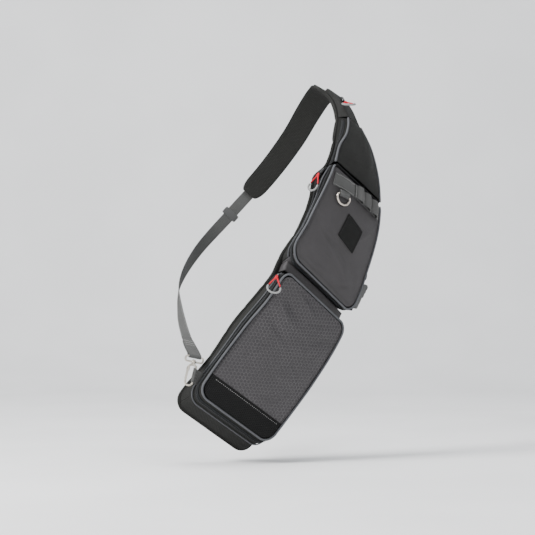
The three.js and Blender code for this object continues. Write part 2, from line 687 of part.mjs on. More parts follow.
function loopLift(a) {
  const within = (a - LOOP_LEFT) % LOOP_PITCH;
  const share = THREE.MathUtils.clamp((within - LOOP_FLAT) / (LOOP_PITCH - LOOP_FLAT), 0, 1);
  const arch = a >= loopEnd ? 0 : Math.sin(Math.PI * share) ** 0.6;
  return LAID + WEBBING_THICK + LAID + LOOP_RISE * arch;
}
add('webbing_loops', overFront('upper', [STRIP_TOP + LAID, stripMiddle, stripEnd - LAID],
  [...loopPlaces, loopEnd, loopEnd + LOOP_FLAT], loopLift, WEBBING_THICK), 'webbing');

// Square patch, set a little askew
const BADGE_AT = 336;
const BADGE_ACROSS = -6;
const BADGE_TURN = THREE.MathUtils.degToRad(-8);
const BADGE_THICK = 1.2;
add('badge', slab(steps(-BADGE / 2, BADGE / 2, 4).map((y) => steps(-BADGE / 2, BADGE / 2, 4).map((x) => {
  const s = BADGE_AT + y * Math.cos(BADGE_TURN) - x * Math.sin(BADGE_TURN);
  const a = BADGE_ACROSS + x * Math.cos(BADGE_TURN) + y * Math.sin(BADGE_TURN);
  const n = frontAt('upper', s, a) + LAID;
  return [worn(s, a, n + BADGE_THICK), worn(s, a, n)];
}))), 'badge');

// Webbing bent along a way in a plane. The way lists x and y, and place puts x, the share across and y
// into space.
function bentStrip(way, width, place) {
  const point = (k) => new THREE.Vector2(...way[THREE.MathUtils.clamp(k, 0, way.length - 1)]);
  return slab(way.map((_, k) => {
    const here = point(k);
    const on = point(k + 1).sub(point(k - 1)).normalize();
    const across = new THREE.Vector2(-on.y, on.x).multiplyScalar(WEBBING_THICK / 2);
    return [-0.5, 0.5].map((r) => [-1, 1].map((side) => place(
      here.x + side * across.x, r * width, here.y + side * across.y,
    )));
  }));
}

// The way of a tab folded round a slot: x runs from the fold to the sewn end, which lies at reach from
// the slot's middle
function foldedTab(slotLength, slotHeight, reach) {
  const radius = (slotHeight + WEBBING_THICK) / 2;
  const half = (slotLength - slotHeight) / 2;
  const layer = (GAP + WEBBING_THICK) / 2;
  const neck = half + radius;
  const fold = steps(1.5 * Math.PI, 0.5 * Math.PI, 7)
    .map((angle) => [radius * Math.cos(angle) - half, radius * Math.sin(angle)]);
  const lower = [[reach, -layer], [neck, -layer], [half, -radius]];
  const upper = lower.map(([x, y]) => [x, -y]).reverse();
  return [...lower, ...fold, ...upper];
}
const placed = (geometry, frame) => geometry.applyMatrix4(frame);
const axes = (x, y, z) => new THREE.Matrix4().makeBasis(
  new THREE.Vector3(...x), new THREE.Vector3(...y), new THREE.Vector3(...z),
);

// D-ring in a tab that hangs from the lower edge of the strip
const RING_ACROSS = -57;
const RING_LEAN = THREE.MathUtils.degToRad(10);
const EYE = RING_WIRE + 2 * RUNNING_GAP;
const EYE_OUTER = EYE / 2 + WEBBING_THICK;
const RING_TAB_REACH = 8;
const barAt = stripEnd + stripSweep(RING_ACROSS) + RING_TAB_REACH + 1;
const ringFrame = frameAt(barAt, RING_ACROSS, frontAt('upper', barAt, RING_ACROSS) + LAID + EYE_OUTER);
const ringTabWay = foldedTab(1.3 * EYE, EYE, RING_TAB_REACH);
const ringTab = bentStrip(ringTabWay, RING_TAB_WIDTH, (x, z, y) => new THREE.Vector3(z, -x, y));
add('ring_tab', placed(ringTab, ringFrame), 'webbing');

function dRing() {
  const half = (RING_WIDTH - RING_WIRE) / 2;
  const bar = steps(-0.86, 0.86, 4).map((x) => new THREE.Vector3(x * half, 0, 0));
  const bow = steps(0.05, 0.95, 12).map((t) => new THREE.Vector3(
    half * Math.cos(Math.PI * t), RING_DROP * Math.sin(Math.PI * t) ** 0.75, 0,
  ));
  return pipe([...bar, ...bow], RING_WIRE, 7, true);
}
const ringLean = new THREE.Matrix4().makeRotationX(RING_LEAN);
add('d_ring', placed(dRing(), ringFrame.clone().multiply(ringLean)), 'metal');

// Where a side wall stands across the bag, at s along it and n out from the wearer
function wallAcross(name, side, s, n) {
  const pocket = pockets[name];
  const mix = THREE.MathUtils.lerp;
  const front = depthAt(s) - PIPING / 2 - GAP;
  const t = (front - n) / (front - PADDING - GAP);
  const start = mix(pocket.top, pocket.backTop, t);
  const p = (s - start) / (mix(pocket.end, pocket.backEnd, t) - start);
  const sFront = mix(pocket.top, pocket.end, p);
  const sBack = mix(pocket.backTop, pocket.backEnd, p);
  return mix(frontEdge(sFront, side), backEdge(sBack, side), t);
}

// Zip sliders. Each stands on its zip, and its cord pull hangs from it: a doubled cord with a knot, and
// a round grip into which both of its ends go.
const SLIDER = { width: 8, length: 13, height: 4.5, corner: 2.5 };
const CORD = 2.8;
const KNOT = 6.4;
const GRIP_WIRE = 4.2;
const sliderShape = () => roundedBlock(SLIDER.width, SLIDER.length, SLIDER.height, SLIDER.corner, 2);
const flatPoints = (rows) => rows.map(([x, y]) => new THREE.Vector3(x, y, 0));
function pullCord() {
  const cord = pipe(flatPoints([
    [-11.6, 24.2], [-7, 15.5], [-2.3, 8], [-1.6, 2], [0, 0], [1.6, 2], [2.3, 8], [7, 15.5], [11.6, 24.2],
  ]), CORD, 5, false);
  const knot = new THREE.SphereGeometry(KNOT / 2, 6, 4).translate(0, 6, 0);
  return toGeometry(solid(cord).add(solid(knot)));
}
function gripRing() {
  return pipe(flatPoints([
    [-12.1, 25.1], [-13.4, 29], [-12.4, 34.2], [-7.5, 38.4], [0, 40], [7.5, 38.4], [12.4, 34.2], [13.4, 29],
    [12.1, 25.1],
  ]), GRIP_WIRE, 6, false);
}

// A frame with y from one place to another and x towards a third, each given as s, a and n
function framed(from, to, side) {
  const origin = worn(...from);
  const y = worn(...to).sub(origin).normalize();
  const x = worn(...side).sub(origin);
  x.addScaledVector(y, -x.dot(y)).normalize();
  return new THREE.Matrix4().makeBasis(x, y, new THREE.Vector3().crossVectors(x, y)).setPosition(origin);
}

// A slider on the left wall, turned so that its back lies on the zip
function onLeftWall(name, s, n) {
  const LENGTHWISE = 10;
  const lift = GAP + ZIP_THICK + RUNNING_GAP;
  const at = (place, out) => [place, wallAcross(name, -1, place, out) - lift, out];
  const frame = framed(at(s, n), at(s + LENGTHWISE, n), at(s, n + LENGTHWISE));
  const inwards = worn(s, 0, n).sub(worn(s, -HALF_WIDTH, n));
  const z = new THREE.Vector3().setFromMatrixColumn(frame, 2);
  return z.dot(inwards) > 0 ? frame.multiply(axes([-1, 0, 0], [0, 1, 0], [0, 0, -1])) : frame;
}
const pulls = [
  {
    name: 'lower', pocket: 'lower', slider: [502, 60],
    from: [503, -107, 71], to: [547, -98, 97], side: [503, -80, 90],
  },
  {
    name: 'main', pocket: 'upper', slider: [262, 20],
    from: [270, -104, 20], to: [310, -108, 24], side: [270, -106, 60],
  },
];
for (const pull of pulls) {
  add(`slider_${pull.name}`, placed(sliderShape(), onLeftWall(pull.pocket, ...pull.slider)), 'slider');
  const frame = framed(pull.from, pull.to, pull.side);
  add(`pull_cord_${pull.name}`, placed(pullCord(), frame), 'cord');
  add(`grip_ring_${pull.name}`, placed(gripRing(), frame), 'gripRing');
}

// The third slider lies at the top of the shoulder pocket, on the hood
const TOP_SLIDER_AT = 66;
const TOP_SLIDER_ACROSS = -14;
const topOut = depthAt(TOP_SLIDER_AT) + CLOTH / 2 + RUNNING_GAP + 1;
add('slider_shoulder', placed(sliderShape(), frameAt(TOP_SLIDER_AT, TOP_SLIDER_ACROSS, topOut)), 'slider');
const topPull = framed(
  [TOP_SLIDER_AT + 8, -15, 26], [TOP_SLIDER_AT + 32, -36, 42], [TOP_SLIDER_AT + 12, 4, 48],
);
add('pull_cord_shoulder', placed(pullCord(), topPull), 'cord');
add('grip_ring_shoulder', placed(gripRing(), topPull), 'gripRing');

// Strap with a fastened buckle on the right wall of the upper pocket, and a small tab on the right wall
// of the lower
const sideOut = (s) => depthAt(s) - 17;
const sideStrap = table(['s', 'lift'], [
  [352, 2.5], [359, 5], [367, 10], [376, 10.5], [382, 7], [387, 3.2],
  [392, 2.5], [412, 2.5], [430, 2.5], [446, 2.5], [456, 2.5],
]);
add('side_strap', slab(sideStrap.map(({ s, lift }) => [-1, 0, 1].map((r) => {
  const n = sideOut(s) + r * 0.42 * BUCKLE_WIDTH;
  const a = wallAcross('upper', 1, s, n) + lift;
  return [worn(s, a + WEBBING_THICK, n), worn(s, a, n)];
}))), 'blackWebbing');

const BUCKLE_AT = 420;
const BUCKLE_LIFT = 6.4;
const turnedRound = axes([-1, 0, 0], [0, 1, 0], [0, 0, -1]);
function buckleShape() {
  const shape = new THREE.Shape();
  const side = [
    [0, -24], [3, -27], [9, -27.5], [12, -24], [12.6, -20], [11.2, -16], [11.8, -12], [10.4, -8], [11, -4],
    [10.2, 1], [8, 2], [8.4, 8], [8, 16], [7.4, 26], [5.5, 28], [0, 28],
  ];
  side.forEach(([x, y], i) => (i === 0 ? shape.moveTo(x, y) : shape.lineTo(x, y)));
  shape.closePath();
  return new THREE.ExtrudeGeometry(shape, { depth: BUCKLE_WIDTH, bevelEnabled: false })
    .translate(0, 0, -BUCKLE_WIDTH / 2);
}
const buckleOut = sideOut(BUCKLE_AT);
const buckleAcross = wallAcross('upper', 1, BUCKLE_AT, buckleOut) + BUCKLE_LIFT;
const buckleFrame = frameAt(BUCKLE_AT, buckleAcross, buckleOut).multiply(turnedRound);
add('side_buckle', placed(buckleShape(), buckleFrame), 'plastic');

const SIDE_TAB = { at: 623, width: 28, out: 51, reach: 7 };
add('side_tab', slab(steps(-0.5, 0.5, 2).map((share) => [0.8, SIDE_TAB.reach].map((lift) => {
  const s = SIDE_TAB.at + share * SIDE_TAB.width;
  const a = wallAcross('lower', 1, s, SIDE_TAB.out) + lift;
  return [worn(s, a, SIDE_TAB.out + 2 * WEBBING_THICK), worn(s, a, SIDE_TAB.out)];
}))), 'blackWebbing');

// The fastening at the lower left corner. The hook's spine lies in the slot of its tab, whose fold leans
// with it.
const HOOK_TAB_AT = 746;
const HOOK_TAB_OUT = 52;
const HOOK_TURN = THREE.MathUtils.degToRad(-22);
const SLOT_LENGTH = 7;
const SLOT_HEIGHT = HOOK_WIRE + 3 * RUNNING_GAP;
const hookTabRoot = wallAcross('lower', -1, HOOK_TAB_AT, HOOK_TAB_OUT) - 0.8;
const slotAt = HOOK_TAB_REACH - WEBBING_THICK - SLOT_LENGTH / 2;
const hookTabWay = foldedTab(SLOT_LENGTH, SLOT_HEIGHT, slotAt);
const hookTab = bentStrip(hookTabWay, HOOK_TAB_WIDTH, (x, z, y) => {
  const lean = -Math.tan(HOOK_TURN) * z * THREE.MathUtils.clamp((slotAt - x) / (slotAt - SLOT_LENGTH), 0, 1);
  return new THREE.Vector3(-x - lean, z, y);
});
const slotFrame = frameAt(HOOK_TAB_AT, hookTabRoot - slotAt, HOOK_TAB_OUT);
add('hook_tab', placed(hookTab, slotFrame), 'webbing');

// Snap hook: y runs from its stem to its bow, and its spine stands at +x. The gate closes the side at -x.
const HOOK_HALF = 8;
const SPINE_HALF = 15;
const BOW = 6;
const hookFrame = slotFrame.clone().multiply(turnedRound)
  .multiply(new THREE.Matrix4().makeRotationZ(HOOK_TURN))
  .multiply(new THREE.Matrix4().makeTranslation(-HOOK_HALF, 0, 0));
const PIVOT = { x: -HOOK_HALF, y: -SPINE_HALF + 4.5 };
const PIN = 2.4;
const KNUCKLE = 5.4;
const KNUCKLE_WIDTH = 3;
const CHEEK = 1.4;
const GATE_END = SPINE_HALF - 3.5;
const STEM = 3.6;
const HEAD = 6.4;
const HEAD_THICK = 1.8;
const BARREL = { diameter: 9, length: 4.6 };
const CROWN = SPINE_HALF + BOW;
const barrelAt = CROWN + HOOK_WIRE / 2 + 0.6;
function cylinder(diameter, length, sides) {
  return new THREE.CylinderGeometry(diameter / 2, diameter / 2, length, sides);
}

function hookBody() {
  const bend = (y) => [[HOOK_HALF * 0.9, y + 0.45 * BOW], [HOOK_HALF * 0.5, y + 0.9 * BOW], [0, y + BOW],
    [-HOOK_HALF * 0.5, y + 0.9 * BOW], [-HOOK_HALF * 0.9, y + 0.45 * BOW]];
  const bow = bend(SPINE_HALF);
  const crown = bow.map(([x, y]) => [x, -y]).reverse();
  const wire = pipe(flatPoints([
    [PIVOT.x, PIVOT.y - 3.4], ...crown, [HOOK_HALF, -SPINE_HALF], [HOOK_HALF, SPINE_HALF], ...bow,
    [-HOOK_HALF, GATE_END + 0.6],
  ]), HOOK_WIRE, 8, false);
  const stemLength = barrelAt - CROWN + BARREL.length + HEAD_THICK;
  const stem = cylinder(STEM, stemLength, 10).translate(0, -CROWN - stemLength / 2, 0);
  const head = cylinder(HEAD, HEAD_THICK, 12)
    .translate(0, -barrelAt - BARREL.length - RUNNING_GAP - HEAD_THICK / 2, 0);
  const cheek = (side) => new THREE.BoxGeometry(0.8 * KNUCKLE, 1.5 * KNUCKLE, CHEEK)
    .translate(PIVOT.x, PIVOT.y - 0.3 * KNUCKLE, side * (KNUCKLE_WIDTH / 2 + RUNNING_GAP + CHEEK / 2));
  const pin = cylinder(PIN, KNUCKLE_WIDTH + 2 * RUNNING_GAP + CHEEK, 10)
    .rotateX(Math.PI / 2).translate(PIVOT.x, PIVOT.y, 0);
  return [stem, head, cheek(1), cheek(-1), pin].reduce((body, piece) => body.add(solid(piece)), solid(wire));
}
add('snap_hook', placed(toGeometry(hookBody()), hookFrame), 'nickel');

function gate() {
  const shape = new THREE.Shape();
  const half = GATE_WIRE / 2;
  const ridges = 5;
  const from = PIVOT.y + KNUCKLE / 2;
  shape.moveTo(PIVOT.x + half, PIVOT.y);
  shape.lineTo(PIVOT.x + half, GATE_END);
  shape.lineTo(PIVOT.x - half, GATE_END);
  for (const t of steps(1, 0, 2 * ridges)) {
    const high = Math.round(t * 2 * ridges) % 2 === 1;
    shape.lineTo(PIVOT.x - half - (high ? 0.9 : 0), THREE.MathUtils.lerp(from, GATE_END - 2, t));
  }
  shape.lineTo(PIVOT.x - half, PIVOT.y);
  shape.closePath();
  const bar = new THREE.ExtrudeGeometry(shape, { depth: KNUCKLE_WIDTH, bevelEnabled: false })
    .translate(0, 0, -KNUCKLE_WIDTH / 2);
  const knuckle = cylinder(KNUCKLE, KNUCKLE_WIDTH, 12).rotateX(Math.PI / 2).translate(PIVOT.x, PIVOT.y, 0);
  const bore = cylinder(PIN + 2 * RUNNING_GAP, 2 * KNUCKLE, 12)
    .rotateX(Math.PI / 2).translate(PIVOT.x, PIVOT.y, 0);
  return solid(bar).add(solid(knuckle)).subtract(solid(bore));
}
add('hook_gate', placed(toGeometry(gate()), hookFrame), 'nickel');

// Ring of the strap: a rectangle of wire, with the barrel in which the hook's stem turns on its lower bar
const STRAP_RING = { width: 37, height: 11, wire: 3.6, corner: 3.5 };
const ringLow = barrelAt + BARREL.length / 2;
const ringHigh = ringLow + STRAP_RING.height;
function strapRing() {
  const half = STRAP_RING.width / 2;
  const cut = STRAP_RING.corner;
  const wire = pipe(flatPoints([
    [-half + cut, -ringLow], [half - cut, -ringLow],
    [half - 0.3 * cut, -ringLow - 0.3 * cut], [half, -ringLow - cut],
    [half, -ringHigh + cut], [half - 0.3 * cut, -ringHigh + 0.3 * cut], [half - cut, -ringHigh],
    [-half + cut, -ringHigh], [-half + 0.3 * cut, -ringHigh + 0.3 * cut], [-half, -ringHigh + cut],
    [-half, -ringLow - cut], [-half + 0.3 * cut, -ringLow - 0.3 * cut],
  ]), STRAP_RING.wire, 7, true);
  const barrel = cylinder(BARREL.diameter, BARREL.length, 14).translate(0, -ringLow, 0);
  const bore = cylinder(STEM + 2 * RUNNING_GAP, 2 * BARREL.length, 14).translate(0, -ringLow, 0);
  return solid(wire).add(solid(barrel)).subtract(solid(bore));
}
add('strap_ring', placed(toGeometry(strapRing()), hookFrame), 'nickel');

// Padded strap over the shoulder and down the chest, rounded off at its lower end
function strapPad() {
  const END_LENGTH = 30;
  const EDGE = 0.62;
  const TAPER = 0.12;
  const END_NARROWING = 0.45;
  const list = [...[0, 0.06, 0.2, 0.45, 0.75].map((share) => -PAD_LENGTH + share * END_LENGTH),
    ...steps(-PAD_LENGTH + END_LENGTH, 3.4, 16)];
  return slab(list.map((s) => {
    const into = Math.max(0, -PAD_LENGTH + END_LENGTH - s) / END_LENGTH;
    const narrowing = END_NARROWING * (1 - Math.sqrt(1 - into ** 2));
    const half = (PAD_WIDTH / 2) * (1 - TAPER * (-s / PAD_LENGTH)) * (1 - narrowing);
    return [-1, -0.85, 0, 0.85, 1].map((r) => {
      const top = PAD_THICK * (Math.abs(r) === 1 ? EDGE : 1);
      return [worn(s, r * half, top), worn(s, r * half, 0)];
    });
  }));
}
add('strap_pad', strapPad(), 'mesh');

// Webbing from under the hood over the pad, down the chest and round the left side, where it turns round
// the ring
const turnRadius = STRAP_RING.wire / 2 + GAP + WEBBING_THICK / 2;
const padTop = PAD_THICK + GAP + WEBBING_THICK / 2;
const sewnTo = -PAD_LENGTH + SEWN_OVERLAP;
const onBody = 1.2;
const TURN_LENGTH = 14;
const DRAWN_IN = 2.2;
const webbingWay = [
  ...steps(sewnTo, -PAD_LENGTH, 4).map((s) => [s, padTop]),
  [-PAD_LENGTH - 8, PAD_THICK * 0.7], [-PAD_LENGTH - 20, 2.6],
  ...steps(-PAD_LENGTH - 34, STRAP_END + DOUBLED + TURN_LENGTH, 22).map((s) => [s, onBody]),
  ...steps(STRAP_END + DOUBLED, STRAP_END + TURN_LENGTH, 5).map((s) => [s, turnRadius]),
  ...steps(Math.PI / 2, 1.5 * Math.PI, 6).map((angle) => [
    STRAP_END + turnRadius * Math.cos(angle), turnRadius * Math.sin(angle),
  ]),
  [STRAP_END + TURN_LENGTH, -turnRadius],
  ...steps(STRAP_END + TURN_LENGTH, STRAP_END + DOUBLED, 5).slice(1).map((s) => [s, -turnRadius + DRAWN_IN]),
];
add('strap_webbing', bentStrip(webbingWay, WEBBING, worn), 'webbing');

// Plain adjuster below the pad, with a slot round the webbing
const ADJUSTER = { width: 36, length: 16, thick: 5.4, corner: 3 };
const adjusterAt = -PAD_LENGTH - 60;
function adjuster() {
  const block = solid(roundedBlock(ADJUSTER.width, ADJUSTER.length, ADJUSTER.thick, ADJUSTER.corner, 2));
  const slot = solid(new THREE.BoxGeometry(WEBBING + 1.4, 2 * ADJUSTER.length, WEBBING_THICK + 1.4)
    .translate(0, 0, ADJUSTER.thick / 2));
  return toGeometry(block.subtract(slot));
}
add('strap_adjuster', placed(adjuster(), frameAt(adjusterAt, 0, onBody - ADJUSTER.thick / 2)), 'plastic');

export default bag;
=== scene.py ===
"""Looks of the sling bag: cloth, webbing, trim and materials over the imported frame."""
import math

import bmesh
import bpy
import numpy as np
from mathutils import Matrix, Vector, noise


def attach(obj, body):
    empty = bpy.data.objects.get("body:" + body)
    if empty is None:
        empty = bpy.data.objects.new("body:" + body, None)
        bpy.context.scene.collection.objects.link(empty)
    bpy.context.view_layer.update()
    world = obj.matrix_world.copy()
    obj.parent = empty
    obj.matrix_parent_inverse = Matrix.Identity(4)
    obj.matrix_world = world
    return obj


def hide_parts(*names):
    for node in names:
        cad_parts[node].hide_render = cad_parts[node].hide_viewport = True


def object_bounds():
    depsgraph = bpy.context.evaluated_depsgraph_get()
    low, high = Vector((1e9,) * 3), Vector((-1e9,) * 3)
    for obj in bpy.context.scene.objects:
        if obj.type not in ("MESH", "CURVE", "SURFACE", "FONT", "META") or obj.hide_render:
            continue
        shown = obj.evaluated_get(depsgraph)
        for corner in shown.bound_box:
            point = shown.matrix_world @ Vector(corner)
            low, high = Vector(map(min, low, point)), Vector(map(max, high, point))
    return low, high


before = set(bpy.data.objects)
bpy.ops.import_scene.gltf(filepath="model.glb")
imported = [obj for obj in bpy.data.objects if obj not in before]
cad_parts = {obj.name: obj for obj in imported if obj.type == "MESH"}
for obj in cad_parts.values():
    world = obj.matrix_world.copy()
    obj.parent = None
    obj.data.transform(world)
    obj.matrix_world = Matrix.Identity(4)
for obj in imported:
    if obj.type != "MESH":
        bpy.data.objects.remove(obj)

bl_info = {
    "name": "Sling Bag Looks",
    "version": (1, 0, 0),
    "blender": (4, 5, 0),
    "location": "View3D > Sidebar > Sling Bag",
    "description": "Cloth, webbing, zips, stitches and metal of a worn tackle sling bag",
    "category": "Object",
}

MM = 0.001
CAD_BOX = [list(corner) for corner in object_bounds()]

# Reach of the worn bag from the top of the shoulder, and its main sizes, in millimetres as the frame has them
SIDE_REACH, BACK_REACH, BAG_DROP, CHEST_REACH = 240, 163, 712, 148
BAG_LENGTH, HALF_WIDTH, BAG_DEPTH = 817, 100, 80
SHOULDER_TOP, SEAM_AT, UPPER_END, LOWER_TOP, LOWER_END, BAND_HEIGHT = 110, 240, 464, 487, 770, 46
PADDING, CLOTH, GAP, SEAM_GAP, PIPING, RIB = 8, 1.6, 0.45, 0.9, 4.4, 3
ZIP_THICK, WEBBING, WEBBING_THICK = 1.2, 25, 1.7
PAD_WIDTH, PAD_LENGTH, PAD_THICK, SEWN_OVERLAP, DOUBLED = 56, 330, 8, 60, 90
STRAP_RING_WIRE, STRAP_TURN, STRAP_DRAWN_IN, ON_BODY = 3.6, 14, 2.2, 1.2
SEAM_CORD, SEAM_CORD_LIFT, SEAM_ALLOWANCE, VALLEY_DEPTH = 3.2, 0.2, 4.2, 60
TOOTH_PITCH, TOOTH = 1.5, (0.9, 5.0, 1.6)
LIGHT_STITCH, DARK_STITCH = (2.9, 0.9, 0.7), (3.0, 0.8, 0.6)
STRIP_TOP, STRIP_LEFT, STRIP_RIGHT, STRIP_SWEEP = 247, -89, 66, 0.0013
LOOP_LEFT, LOOP_COUNT, LOOP_PITCH, LOOP_FLAT, LOOP_RISE, LAID = -25, 3, 27, 5, 8, 0.5
LOOP_END = LOOP_LEFT + LOOP_COUNT * LOOP_PITCH
BADGE, BADGE_AT, BADGE_ACROSS, BADGE_TURN, BADGE_THICK = 54, 336, -6, math.radians(-8), 1.2
ZIP_SHARES = {"shoulder": (0.25, 0.62), "upper": (0.10, 0.26), "lower": (0.14, 0.28)}
MAIN_ZIP = (0.70, 0.84)
RIB_SHARES = {"upper": 0.40, "lower": 0.42}

ROUTE = [  # x, y, z as shares of the reaches, turn and fall in degrees
    (-1.091, -1.536, -0.7621, 200.5, -12), (-1.179, -0.920, -0.716, 152, -8),
    (-1.250, -0.380, -0.639, 120, 25), (-1.267, 0.203, -0.562, 88, 42),
    (-1.133, 0.676, -0.470, 50, 44), (-0.833, 0.960, -0.351, 12, 42),
    (-0.500, 1.000, -0.225, 0, 38), (-0.267, 0.838, -0.121, 2, 34),
    (-0.133, 0.568, -0.048, 8, 30), (-0.042, 0.243, -0.006, 14, 27),
    (0.000, 0.000, 0.000, 20, 26), (0.117, -0.270, -0.051, 46, 26),
    (0.179, -0.491, -0.152, 54, 20), (0.154, -0.601, -0.298, 47, 30),
    (-0.050, -0.687, -0.475, 40, 38), (-0.200, -0.798, -0.584, 34, 38),
    (-0.500, -0.896, -0.753, 26, 36), (-0.900, -0.982, -0.952, 24, 35),
    (-1.000, -1.000, -1.000, 24, 35),
]
SHOULDER_ROW = 10
OUTLINE = {  # at, then front left, front right, back left, back right and depth, as shares
    "at": [
        0, 0.08, 0.135, 0.185, 0.24, 0.294, 0.34, 0.392,
        0.47, 0.568, 0.6, 0.65, 0.75, 0.857, 0.943, 1,
    ],
    "frontLeft": [
        0.27, 0.27, 0.24, 0.48, 0.84, 0.93, 1, 1.06,
        1.10, 1.11, 1, 0.96, 1.01, 1.04, 1.03, 1.02,
    ],
    "frontRight": [
        0.27, 0.27, 0.24, 0.48, 0.63, 0.72, 0.79, 0.82,
        0.83, 0.82, 0.85, 0.88, 0.89, 0.86, 0.83, 0.82,
    ],
    "backLeft": [
        0.28, 0.27, 0.34, 0.52, 0.62, 0.76, 0.97, 0.84,
        0.78, 0.86, 0.82, 0.86, 0.96, 0.96, 1.03, 1.04,
    ],
    "backRight": [
        0.28, 0.27, 0.30, 0.44, 0.56, 0.66, 0.68, 0.70,
        0.76, 0.80, 0.82, 0.84, 0.86, 0.84, 0.82, 0.84,
    ],
    "depth": [
        0.16, 0.24, 0.32, 0.40, 0.48, 0.55, 0.63, 0.73,
        0.85, 0.95, 0.97, 0.99, 1, 0.99, 0.98, 0.96,
    ],
}
POCKETS = {
    "shoulder": dict(top=110, end=237, backTop=102, backEnd=237, crown=9, topCorner=12, endCorner=0),
    "upper": dict(top=243, end=464, backTop=243, backEnd=472, crown=13, topCorner=8, endCorner=26),
    "lower": dict(top=487, end=770, backTop=481, backEnd=812, crown=12, topCorner=20, endCorner=26),
}
FOLDS = {  # p, r, angle, reach, spread, rise: the frame's own folds
    "shoulder": [(0.62, 0.20, 55, 0.50, 0.14, 0.025)],
    "upper": [(0.80, 0.35, -28, 0.60, 0.12, 0.022), (0.93, 0.10, -12, 0.55, 0.10, -0.022)],
    "lower": [
        (0.14, -0.55, -20, 0.42, 0.10, -0.045), (0.24, -0.50, -14, 0.40, 0.09, 0.030),
        (0.31, -0.62, -16, 0.32, 0.09, -0.045), (0.40, -0.70, -10, 0.28, 0.09, 0.030),
        (0.20, 0.60, 38, 0.50, 0.10, -0.030), (0.74, 0.25, 12, 0.55, 0.10, -0.025),
    ],
}
CREASES = {  # finer creases of the cloth, in the same columns
    "shoulder": [
        (0.30, 0.1, 70, 0.45, 0.05, 0.008), (0.80, -0.3, 10, 0.5, 0.05, -0.010),
        (0.55, 0.5, 35, 0.4, 0.06, 0.010),
    ],
    "upper": [
        (0.10, -0.55, -30, 0.35, 0.05, -0.012), (0.30, 0.55, 40, 0.4, 0.05, 0.012),
        (0.62, -0.4, -15, 0.45, 0.06, -0.012), (0.86, 0.5, 24, 0.4, 0.05, -0.016),
        (0.74, -0.1, -22, 0.5, 0.05, 0.010), (0.93, -0.5, 12, 0.35, 0.045, 0.012),
    ],
    "lower": [
        (0.08, -0.2, -16, 0.30, 0.045, 0.022), (0.19, -0.68, -24, 0.22, 0.04, 0.026),
        (0.27, -0.25, -8, 0.3, 0.05, -0.020), (0.47, -0.62, 20, 0.25, 0.045, -0.026),
        (0.55, -0.70, 35, 0.20, 0.04, 0.022), (0.68, 0.65, 50, 0.35, 0.05, 0.018),
        (0.30, 0.75, 62, 0.35, 0.045, 0.018), (0.62, 0.1, 8, 0.6, 0.06, -0.012),
        (0.12, 0.35, 24, 0.35, 0.05, -0.016), (0.38, -0.35, -18, 0.30, 0.045, 0.016),
        (0.78, -0.6, 30, 0.3, 0.05, 0.014), (0.50, 0.55, -30, 0.4, 0.05, -0.014),
    ],
}


def catmull(rows, per_row, centripetal):
    """Points along a Catmull-Rom curve through the rows, evenly listed between rows."""
    rows = np.array(rows, float)
    padded = np.vstack([2 * rows[0] - rows[1], rows, 2 * rows[-1] - rows[-2]])
    out = []
    for k in range(1, len(padded) - 2):
        p0, p1, p2, p3 = padded[k - 1:k + 3]
        if centripetal:
            d0, d1, d2 = (max(np.sum((b - a) ** 2) ** 0.25, 1e-6) for a, b in ((p0, p1), (p1, p2), (p2, p3)))
            t1 = ((p1 - p0) / d0 - (p2 - p0) / (d0 + d1) + (p2 - p1) / d1) * d1
            t2 = ((p2 - p1) / d1 - (p3 - p1) / (d1 + d2) + (p3 - p2) / d2) * d1
        else:
            t1, t2 = 0.5 * (p2 - p0), 0.5 * (p3 - p1)
        t = (np.arange(per_row) / per_row)[:, None]
        square, cube = -3 * p1 + 3 * p2 - 2 * t1 - t2, 2 * p1 - 2 * p2 + t1 + t2
        out.append(p1 + t1 * t + square * t ** 2 + cube * t ** 3)
    return np.vstack(out + [rows[-1:]])


def sample_route(per_row=40):
    """Places, ways, widths and outs along the route, with their distance from the shoulder."""
    reach = [(x * SIDE_REACH, y * (CHEST_REACH if y > 0 else BACK_REACH), z * BAG_DROP)
             for x, y, z, _, _ in ROUTE]
    place = catmull(reach, per_row, True)
    angles = np.radians(catmull([row[3:] for row in ROUTE], per_row, False))
    way = np.gradient(place, axis=0)
    way /= np.linalg.norm(way, axis=1)[:, None]
    turn, fall = angles[:, 0], angles[:, 1]
    width = np.stack([np.cos(turn) * np.cos(fall), np.sin(turn) * np.cos(fall), -np.sin(fall)], 1)
    out = np.cross(way, width)
    out /= np.linalg.norm(out, axis=1)[:, None]
    s = np.concatenate([[0], np.cumsum(np.linalg.norm(np.diff(place, axis=0), axis=1))])
    return s - s[SHOULDER_ROW * per_row], (place, way, width, out)


ROUTE_S, ROUTE_FIELDS = sample_route()
STRAP_END = ROUTE_S[0]


def worn(s, a, n):
    """A point of the worn bag in millimetres: s along it, a across it and n out from the wearer."""
    s, a, n = np.broadcast_arrays(*(np.asarray(v, float) for v in (s, a, n)))
    i = np.clip(np.searchsorted(ROUTE_S, s, side="right") - 1, 0, len(ROUTE_S) - 2)
    t = np.clip((s - ROUTE_S[i]) / (ROUTE_S[i + 1] - ROUTE_S[i]), 0, 1)[..., None]
    place, way, width, out = (field[i] * (1 - t) + field[i + 1] * t for field in ROUTE_FIELDS)
    out /= np.linalg.norm(out, axis=-1)[..., None]
    past = np.maximum(0, s - ROUTE_S[-1]) + np.minimum(0, s - ROUTE_S[0])
    return place + way * past[..., None] + width * a[..., None] + out * n[..., None]


